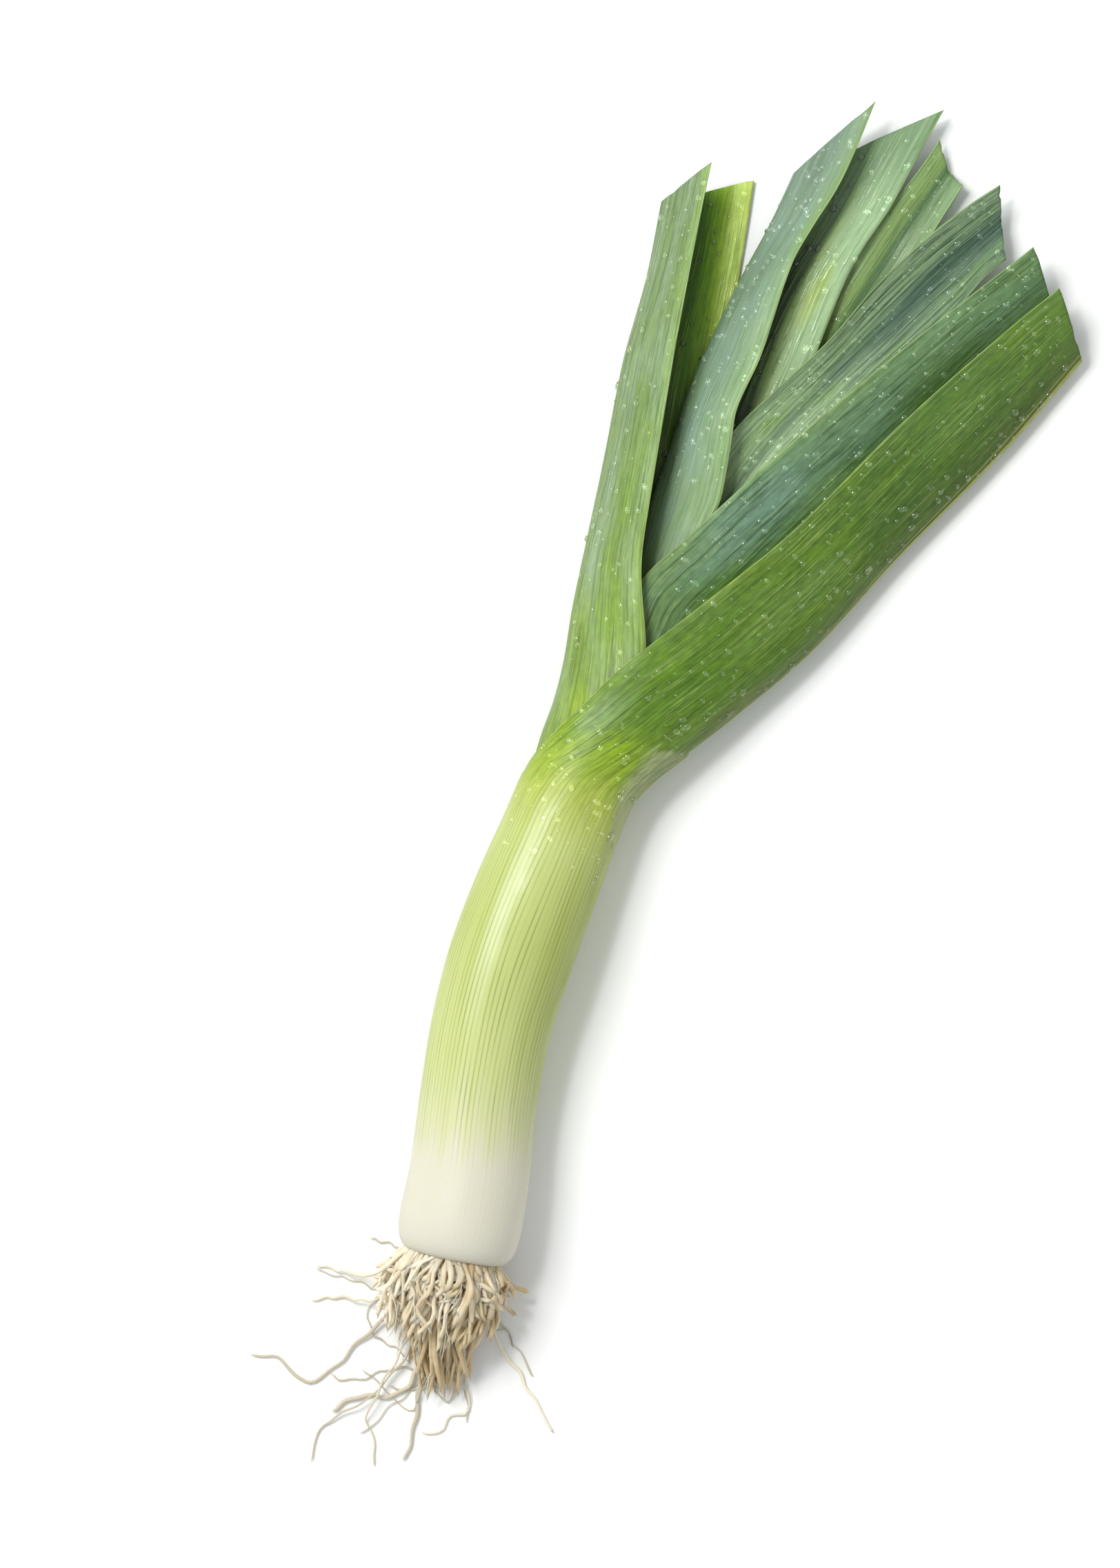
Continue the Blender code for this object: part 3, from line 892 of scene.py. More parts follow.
    def lay(self) -> None:
        """Finds every point of the leaf's grid, and eases the bend where the blade leaves the sheath."""
        sharp = [[self.place(i / self.rows, 2 * j / self.columns - 1) for j in range(self.columns + 1)]
                 for i in range(self.rows + 1)]
        self.grid = []
        fully, fades, least = 4, 26, 0.3
        for i, row in enumerate(sharp):
            here = self.distance(i / self.rows)
            reach = self.easing * (1 - ease((abs(here) - fully) / fades)) if self.sheath_length else 0.0
            if reach < least:
                self.grid.append(row)
                continue
            near = []
            for k in range(self.rows + 1):
                apart = abs(self.distance(k / self.rows) - here)
                if apart < 2 * reach:
                    near.append((math.exp(-2 * (apart / reach) ** 2), sharp[k]))
            total = sum(weight for weight, _ in near)
            eased = []
            for j in range(self.columns + 1):
                point = Vector((0.0, 0.0, 0.0))
                for weight, other in near:
                    point += other[j] * (weight / total)
                eased.append(point)
            self.grid.append(eased)
        for row in self.grid:
            for point in row:
                point.z = max(point.z, self.lowest)

    def spot(self, along: float, across: float) -> tuple[Vector, Vector]:
        """Finds a place on the laid leaf.

        Args:
            along: from 0 to 1 along the leaf.
            across: from -1 to 1 across it.

        Returns:
            The point, and the surface's direction on the side that faces up.
        """
        i = min(int(along * self.rows), self.rows - 1)
        j = min(int((across + 1) / 2 * self.columns), self.columns - 1)
        corner = self.grid[i][j]
        run, over = self.grid[i + 1][j] - corner, self.grid[i][j + 1] - corner
        normal = run.cross(over).normalized()
        point = (corner + self.grid[i + 1][j + 1]) / 2
        return point, normal if normal.z > 0 else -normal

    def build(self, replaced: tuple[str, ...] = ()) -> bpy.types.Object:
        """Builds the leaf and dresses it.

        Args:
            replaced: solids that it stands for besides its own.

        Returns:
            The leaf's object.
        """
        self.lay()
        sheet = bmesh.new()
        mapping = sheet.loops.layers.uv.new(LEAF_MM)
        bmesh.ops.create_grid(sheet, x_segments=self.rows, y_segments=self.columns, size=1)
        flesh = sheet.verts.layers.deform.new()
        for vertex in sheet.verts:
            along, across = (vertex.co.x + 1) / 2, vertex.co.y
            distance = self.distance(along)
            for loop in vertex.link_loops:
                loop[mapping].uv = (across * self.half_width, distance)
            margin = (1 - abs(across)) * self.half_width
            thick = self.thin + (1 - self.thin) * ease(margin / self.thins)
            vertex[flesh][0] = 1.0 if distance < FULL_WALL_TO else thick
            place = self.grid[round(along * self.rows)][round((across + 1) / 2 * self.columns)]
            vertex.co = place * MM
        if self.sheath_length > self.opening:
            # Below its opening the sheath is a closed tube, as leek sheaths are.
            slack = 2 / self.rows
            seam = [v for v in sheet.verts if v.is_boundary
                    and min(loop[mapping].uv.y for loop in v.link_loops) < CLOSED_BELOW - slack]
            bmesh.ops.remove_doubles(sheet, verts=seam, dist=0.02 * MM)
        # Near the tip, a folded leaf's upper half has its outer skin on top, and a channel its lining.
        i, j = round(0.8 * self.rows), round(0.75 * self.columns)
        run, over = self.grid[i + 1][j] - self.grid[i][j], self.grid[i][j + 1] - self.grid[i][j]
        if (run.cross(over).z > 0) == (self.fold is Fold.CHANNEL):
            bmesh.ops.reverse_faces(sheet, faces=sheet.faces)
        materials = [self.outer.build(), self.inner.build(), self.rim.build()]
        leaf = add_piece(self.name, sheet, materials, (self.node, *replaced))
        leaf.vertex_groups.new(name="flesh")
        wall = leaf.modifiers.new("wall", "SOLIDIFY")
        wall.thickness = self.wall * MM
        wall.offset = 0
        wall.vertex_group = "flesh"
        wall.material_offset = 1
        wall.material_offset_rim = 2
        return leaf


@dataclass
class RootBunch:
    """The basal plate and its roots: a crowd of short ones, some that trail, and hair-fine ones.

    The crowded roots are longest at the plate's middle and shorter at its rim. Some of those within the
    share deep_zone of its radius reach further than the rest, and of the others a share is hooked.
    """

    stem: Stem
    trailing: tuple
    hairs: tuple
    count: int = 760
    fine_count: int = 70
    plate_radius: float = 16.0
    plate_depth: float = 6.0
    longest: float = 44.0
    shorter: float = 15.0
    deep_zone: float = 0.42
    deep_odds: float = 0.4
    deep_length: tuple[float, float] = (42.0, 53.0)
    hook_odds: float = 0.5
    bulge: float = 11.0
    bow: float = 5.5
    lowest: float = 1.3
    radius: tuple[float, float] = (0.7, 1.4)
    fine_radius: tuple[float, float] = (0.2, 0.38)
    hair_radius: tuple[float, float] = (0.26, 0.46)
    seed: int = 12

    def __post_init__(self) -> None:
        """Finds the plate's place at the end of the stem."""
        self.draw = random.Random(self.seed)
        base, self.right = self.stem.frame(-self.stem.length)
        self.away = Vector((self.right.y, -self.right.x, 0.0))
        self.plate = base + self.away * 0.3

    def short_path(self, number: int, fine: bool) -> list[Vector]:
        """Lays one of the crowded roots, which leaves the plate sideways, bulges, droops and curls in.

        Args:
            number: which root it is, from the plate's middle outwards.
            fine: whether it is one of the hair-fine ones, which stray further.

        Returns:
            The points that it runs through.
        """
        draw = self.draw
        count = self.fine_count if fine else self.count
        share = math.sqrt((number + 0.5) / count)
        turn = number * GOLDEN_ANGLE + (1.0 if fine else 0.0)
        lift, left = math.sin(turn), max(-math.cos(turn), 0.0) * share
        out = self.right * math.cos(turn) + UP * (lift * (0.2 if lift > 0 else 0.6))
        deep = share < self.deep_zone and draw.random() < self.deep_odds
        hooked = not deep and draw.random() < self.hook_odds
        length = draw.uniform(0.4, 1.0) * (self.longest - self.shorter * share) * (0.78 if hooked else 1.0)
        length = draw.uniform(*self.deep_length) if deep else length
        length *= 1.2 if fine else 1.0
        sideways = abs(math.cos(turn)) * share
        bulge = self.bulge * share * draw.uniform(0.45, 1.15) * (1 - (0.5 if left else 0.62) * sideways)
        droop = draw.uniform(0, 8) + 8 * (1 - share) + 5 * max(lift, 0.0) * share + (9 if deep else 0)
        bow = self.right * (draw.uniform(-self.bow, self.bow) * (1 - 0.7 * sideways))
        lean = length * (draw.uniform(-0.04, 0.14) - (0.15 if deep else 0.0))
        rim = self.right * (math.cos(turn) * (1 + 0.06 * left)) + UP * lift
        start = self.plate - self.away * (0.9 + 1.0 * left) + rim * (self.plate_radius * share)
        length += 1.2 + 1.0 * left
        # A hooked root turns aside and lies across its neighbours.
        aside = draw.uniform(0, 2 * math.pi)
        hook = self.right * math.cos(aside) + UP * (0.7 * math.sin(aside))
        hook *= draw.uniform(6, 14) if hooked else draw.uniform(0, 3)
        curl = [draw.uniform(-1, 1) for _ in range(9)]
        stray = 4.0 if fine else 2.8
        points = []
        for i in range(11):
            t = i / 10
            point = start + out * (bulge * math.sin(2.3 * t))
            point += self.away * (length * (t - (0.16 * t**3 if hooked else 0.0)))
            point += hook * (t * t * ease(1.2 * t)) + bow * math.sin(math.pi * min(t * 1.1, 1.0))
            point -= UP * (droop * t * t) + self.right * (lean * t * t)
            wave = [math.sin((4 + 5 * abs(curl[k])) * t + 3 * curl[k + 3]) * curl[k + 6] for k in range(3)]
            point += Vector(wave) * (stray * ease(1.6 * t))
            point.z = max(point.z, self.lowest)
            points.append(point)
        return points

    def tone(self, path: list[Vector]) -> float:
        """Works out how dark a crowded root is: darker at random, with painted shade to the right and in the
        bunch's middle, and darker where its tip reaches more than 27 mm out.

        Args:
            path: the points that it runs through.

        Returns:
            Its tone, from 0 for pale to 1 for straw.
        """
        end = path[-1] - self.plate
        tips_darken_past = 27
        side = end.dot(self.right) / self.plate_radius
        inner = 1 - min(math.hypot(side, end.z / self.plate_radius), 1.0)
        far = max(end.dot(self.away) - tips_darken_past, 0.0)
        # The random share is each root's own colour; the terms for the right side and the middle of the bunch
        # are painted shade.
        shade = 0.4 * self.draw.random() + 0.24 * (side + 0.5) + 0.12 * inner + 0.04 * far
        return min(max(shade, 0.0), 1.0)

    def trailing_path(self, points: Knots) -> list[Vector]:
        """Lays a trailing root: out of the plate, and then along the floor.

        Args:
            points: the points that it is led through.

        Returns:
            The points that it runs through.
        """
        start = self.plate + self.away * (0.3 * self.plate_depth)
        start += (Vector(points[0]) - start).normalized() * 3
        line = Line(((start.x, start.y, start.z), *points))
        laid = []
        last = 39
        for i in range(last + 1):
            point = line.at(i / last)
            sway = ease(i / 12) * 0.45
            point.x += sway * math.sin(i * 0.9 + points[0][0])
            point.y += sway * math.sin(i * 1.3 + points[0][1])
            laid.append(point)
        return laid

    def lay(self, sheet: bmesh.types.BMesh, path: list[Vector], radius: float, number: float,
            rows: int = 10, sides: int = 5) -> None:
        """Adds one root to the bunch's mesh as a rod with a blunt end, of 50 faces where it is crowded.

        Args:
            sheet: the bunch's mesh.
            path: the points that the root runs through.
            radius: its radius at the plate, in millimetres.
            number: its tone, from 0 for pale to 1 for straw, or -1 for bleached.
            rows: how many faces it has along its length.
            sides: how many it has round it.
        """
        strand = sheet.verts.layers.float_vector[STRAND]
        flat = self.draw.uniform(0.6, 1.0)
        line = Line(tuple(tuple(p) for p in path))
        rings = []
        for i in range(rows + 1):
            share = i / rows
            run = line.at(min(share + 0.02, 1.0)) - line.at(max(share - 0.02, 0.0))
            run.normalize()
            over = run.cross(UP).normalized()
            rings.append((line.at(share), over, over.cross(run).normalized()))
        verts = bmesh.ops.create_grid(sheet, x_segments=rows, y_segments=sides, size=1)["verts"]
        for vertex in verts:
            along, angle = (vertex.co.x + 1) / 2, vertex.co.y * math.pi
            centre, over, rise = rings[round(along * rows)]
            # It tapers by a third, swells and thins by a seventh on its way, and ends blunt.
            girth = radius * (1 - 0.3 * along) * (1 + 0.14 * math.sin(along * 17 + number * 40))
            girth *= math.sqrt(min(1.0, max(1 - along, 0.0) * rows))
            vertex[strand] = Vector((number, along, angle))
            point = centre + over * (girth * math.cos(angle)) + rise * (flat * girth * math.sin(angle))
            vertex.co = point * MM

    def build(self) -> bpy.types.Object:
        """Builds the plate and every root as one piece.

        Returns:
            The bunch's object.
        """
        sheet = bmesh.new()
        strand = sheet.verts.layers.float_vector.new(STRAND)
        for i in range(self.count):
            path = self.short_path(i, False)
            self.lay(sheet, path, self.draw.uniform(*self.radius), self.tone(path))
        for i in range(self.fine_count):
            self.lay(sheet, self.short_path(i, True), self.draw.uniform(*self.fine_radius), -0.6)
        for radius, *points in self.trailing:
            tone = self.draw.uniform(-1.0, -0.4)
            self.lay(sheet, self.trailing_path(tuple(points)), 0.72 * radius, tone, 46, 8)
        for points in self.hairs:
            radius = self.draw.uniform(*self.hair_radius)
            self.lay(sheet, self.trailing_path(tuple((*p, 0.9) for p in points)), radius, -1.0, 40, 6)
        bmesh.ops.remove_doubles(sheet, verts=sheet.verts, dist=0.0005 * MM)
        core = bmesh.ops.create_cone(
            sheet, cap_ends=True, segments=40, radius1=(self.plate_radius - 0.6) * MM,
            radius2=0.7 * self.plate_radius * MM, depth=4 * MM,
        )["verts"]
        bmesh.ops.rotate(sheet, verts=core, matrix=UP.rotation_difference(self.away).to_matrix())
        bmesh.ops.translate(sheet, verts=core, vec=(self.plate + self.away * 2) * MM)
        for vertex in core:
            vertex[strand] = Vector((1.0, 0.0, 0.0))
        bmesh.ops.recalc_face_normals(sheet, faces=sheet.faces)
        return add_piece("root_bunch", sheet, [RootSkin().build()], ("roots",))


@dataclass
class Drops:
    """The water drops that stand on the leaves.

    spread gives, for each leaf, how many there are and the part of it that they are on: from and to
    along it, and from and to across it. The drops' radii are in millimetres, and small ones are commonest.
    """

    leaves: list[Leaf]
    spread: dict[str, tuple[int, float, float, float, float]]
    smallest: float = 0.36
    larger_by: float = 1.05
    rarity: float = 2.2
    longest: float = 1.5
    flatness: float = 0.72
    seed: int = 5

    def build(self) -> bpy.types.Object:
        """Builds every drop as a low dome of 32 faces on its leaf's upper side, in one piece.

        Returns:
            The drops' object.
        """
        draw = random.Random(self.seed)
        ball = bmesh.new()
        bmesh.ops.create_uvsphere(ball, u_segments=8, v_segments=4, radius=1.0)
        dome = bpy.data.meshes.new("drop")
        ball.to_mesh(dome)
        ball.free()
        sheet = bmesh.new()
        for leaf in self.leaves:
            count, near, far, low, high = self.spread[leaf.name]
            for _ in range(count):
                point, normal = leaf.spot(draw.uniform(near, far), draw.uniform(low, high))
                radius = (self.smallest + self.larger_by * draw.random() ** self.rarity) * MM
                turn = UP.rotation_difference(normal).to_matrix().to_4x4()
                spin = Matrix.Rotation(draw.uniform(0, math.pi), 4, "Z")
                length = radius * draw.uniform(1.0, self.longest)
                size = Matrix.Diagonal((radius, length, radius * self.flatness, 1.0))
                place = Matrix.Translation((point + normal * (leaf.wall / 2)) * MM)
                shape = place @ turn @ spin @ size
                dome.transform(shape)
                sheet.from_mesh(dome)
                dome.transform(shape.inverted())
        drops = add_piece("water_drops", sheet, [Water().build()], ())
        drops.visible_shadow = False
        return drops


# Each leaf's keel, upper margin and lower margin, in millimetres.
LINES = {
    "outer_leaf": (
        ((-12.9, -6.4, 18.4), (-6, 1.5, 16.8), (4.5, 9.8, 15), (23.7, 24.5, 12.5), (52.8, 48.8, 10),
         (84, 82.3, 8), (122, 120.3, 6.5), (151.9, 154.8, 6)),
        ((-49.8, 9.3, 36.2), (-40, 20.6, 36), (-29.7, 30.1, 35.9), (-18.9, 40.7, 35.6),
         (-7.5, 50, 34.8), (15.5, 68, 32.5), (46.2, 92.5, 28.5), (87.4, 134, 24),
         (127.8, 168.8, 21), (142.8, 180.8, 20)),
        ((-49.8, 9.3, 0.4), (-43.3, 11.9, -1.2), (-31.7, 11.3, -1.5), (-26.3, 12.3, -1.5),
         (-20, 18.4, -1.5), (-8.1, 36.1, -1.5), (14, 60, -1.5), (47, 86, -1.5),
         (86, 126, -1.5), (138, 171, -1.5)),
    ),
    "left_leaf": (
        ((-48, 8.5, 18.4), (-45.4, 18.2, 16.8), (-40.8, 30.8, 15), (-37, 46.1, 13),
         (-34, 65.3, 11), (-28.8, 90.3, 8.5), (-22.3, 121.5, 6.5), (-15.8, 155.3, 5),
         (-7.3, 186, 3.5), (-2.1, 213.1, 2.8)),
        ((-15.3, -5.4, 34.1), (-10.8, 7.9, 33.3), (-8.9, 20.2, 32.3), (-8.1, 35, 31.5),
         (-7.5, 50, 31.2), (-9, 78.8, 31.5), (-6, 102.5, 32), (2.3, 155.3, 30),
         (8.3, 186, 28), (16.4, 225.8, 25)),
        ((-15.3, -5.4, 2.6), (-10.8, 7.9, 2.6), (-7.5, 19.6, 2.7), (-3, 32.9, 2.7), (2, 50, 2.8),
         (9, 80, 2.8), (15, 110, 2.4), (20, 145, 2), (26, 180, 1.6), (32.5, 222.3, 1.4)),
    ),
    "second_right_leaf": (
        ((-14.1, 9.7, 18.1), (-5, 20.4, 15.8), (8.4, 35, 13.5), (28.5, 54.8, 11.5), (58.5, 82.3, 10),
         (91, 114.8, 9), (118.5, 143.8, 8), (143, 167, 7.5)),
        ((-37.3, 19.5, 29.4), (-26.5, 28.7, 28.5), (-20, 46.6, 26.8), (-14.5, 59.5, 26),
         (-9, 74.5, 26), (7, 89.5, 25.5), (32.3, 113.3, 23), (64.3, 141, 21),
         (107, 175.5, 19), (133.5, 196.4, 18)),
        ((-37.3, 19.5, 6.9), (-25.6, 28.3, 5.8), (-10.8, 42.7, 5.2), (0.2, 53.2, 4.8), (7, 66.6, 4.6),
         (18, 88, 4.4), (42, 112, 3.8), (72, 138, 3.4), (104, 166, 3),
         (131, 188, 2.8)),
    ),
    "second_left_leaf": (
        ((-29.8, 25.1, 17.5), (-23.4, 41.5, 14), (-15, 65.1, 11), (-10, 85, 9.8),
         (-6, 101.8, 9), (1.8, 124.8, 8.2), (6.3, 140, 7.6), (12.5, 155.3, 7), (20.5, 172.1, 6.6),
         (28, 187.3, 6.2), (37.8, 205.6, 5.8), (45.8, 223, 5.4)),
        ((-16, 19.3, 24.2), (-10.4, 36, 23.5), (-1.1, 59.2, 22.5), (9.2, 82, 21.8),
         (19, 102.5, 21.5), (21, 111, 21.8), (23.3, 124.8, 23), (25.5, 137, 24),
         (34.3, 155.8, 24), (45.8, 189.5, 24), (52.8, 202.3, 23), (62, 217.3, 22),
         (69, 232.3, 20), (75.8, 248.8, 18)),
        ((-16, 19.3, 10.8), (-7.6, 34.8, 10.2), (5.8, 56.3, 9.9), (19.3, 77.7, 9.8), (36, 110, 9.6),
         (46, 135, 9.2), (55.5, 159.5, 8.6), (61, 174, 8.4), (66.5, 187, 8.4),
         (72, 196.5, 8.6), (82.3, 211.6, 8.6), (94, 232.9, 8.6), (101.8, 246.8, 8.4)),
    ),
    "channel_leaf": (
        ((-22.8, 22.1, 13.4), (-15.4, 38.1, 13), (-4.3, 60.6, 12.6), (8.2, 82.4, 12.2),
         (22, 103, 11.6), (39, 126, 11), (60, 148, 10.6), (82, 169.5, 10.2),
         (101, 187.5, 9.6), (122.5, 206, 8.6)),
        ((-27.3, 24, 17.6), (-20, 40.1, 17.2), (-9.8, 62.9, 16), (1.3, 85.3, 16),
         (12, 108, 16), (24, 128.3, 16), (41.3, 145.5, 16), (58.5, 161.8, 16.5),
         (75.8, 181.4, 17), (94.3, 198.8, 16), (110.5, 211.4, 15), (121.5, 218.8, 14)),
        ((-18.2, 20.2, 17.6), (-10.8, 36.2, 17.2), (1.2, 58.2, 16), (14.7, 79.7, 15.5),
         (25.5, 94.8, 15), (41, 112.8, 14.5), (66, 137.8, 14), (88.5, 157.8, 13.5),
         (107, 175.5, 13), (116.3, 186, 12), (123.8, 191.8, 11)),
    ),
    "narrow_leaf": (
        ((-20.9, 21.3, 8.1), (-12.2, 36.8, 7.2), (0.3, 58.6, 6.6), (18.6, 88.9, 6.2), (36.4, 119.4, 5.4),
         (51, 147.8, 4.2), (66.5, 171.3, 3.6), (87, 202, 3.4), (103.5, 225.3, 3.4)),
        ((-24.6, 22.9, 8.9), (-17.7, 39.1, 8.2), (-5.2, 61, 8), (13.1, 91.2, 7.8), (30.9, 121.7, 7.2),
         (46, 145.3, 6), (56, 167.8, 5.4), (64.8, 185.3, 5.2), (82.3, 211.8, 5.6),
         (94, 227.5, 6.5), (99.8, 236.3, 7)),
        ((-16.3, 19.4, 9.5), (-7.6, 34.8, 8.6), (5.8, 56.3, 8.2), (24.1, 86.5, 7.8), (41.9, 117, 7.2),
         (56, 135.3, 6.4), (71, 160.3, 5.8), (83.5, 180.3, 6.4), (95, 198.3, 7),
         (108.5, 219.3, 7.5)),
    ),
}

OUTER_SKIN = LeafSkin(
    "outer_leaf_skin",
    ((-180, "#D1CDBD"), (-143, "#D1CEB8"), (-130, "#CBCC9F"), (-108, "#C1C986"), (-60, "#B2BD70"),
     (-25, "#B6C278"), (-6, "#AFBB56"), (8, "#86A220"), (24, "#678818"), (60, "#517618"), (94, "#527318"),
     (146, "#40611A"), (198, "#476726"), (240, "#56782C")),
    stains=((26, 15, 9, 12, "#86A31A", 0.75), (40, 4, 8, 13, "#94AE34", 0.75),
            (29, 42, 12, 22, "#436E16", 0.6), (17, 82, 8, 26, "#50701A", 0.5),
            (28, 98, 8, 28, "#6C8C46", 0.45), (20, 150, 9, 30, "#37551A", 0.5),
            (33, 176, 7, 22, "#5B7E3A", 0.4), (12, 205, 7, 26, "#3F5A1C", 0.5),
            (8, 52, 9, 22, "#5F6E22", 0.6), (38, 26, 5, 13, "#7C9C68", 0.45),
            # The last patch, a pale strip on the shaft's upper left, is a painted highlight: the silky sheen
            # of the lit skin.
            (5, -58, 13, 78, "#92A038", 0.5), (29, -52, 3.2, 44, "#D6DFB2", 0.6)),
    vein="#3F5F16", shaft_vein="#6C7C24", light="#AEBE6E", wax="#5E7F3C", fresh="#6A8E14", edge="#B3C66E",
    keel="#A9AE4A", beside_keel="#454F1C", vein_share=0.6, light_share=0.25, wax_share=0.35,
    fresh_share=0.35, keel_share=0.85, soft=0.1, veins_from=(-146.0, -118.0), pitch=1.2, mottling=1.1,
    keel_width=(3.2, 7.5), cuff="#A3AE7E", shine=0.36, wet=0.12,
)
OUTER_LINING = LeafSkin(
    "outer_leaf_lining", ((0, "#A5BB52"), (60, "#769A2C"), (240, "#587F26")),
    vein="#47701C", light="#AFC45E", wax="#86A662", keel="#8FAA3E",
)


def blade_skin(name: str, near: str, middle: str, far: str, **finish: object) -> LeafSkin:
    """Makes a blade's skin from its colours near the neck, halfway and at the tip."""
    return LeafSkin(name, ((0, near), (45, near), (110, middle), (240, far)), **finish)


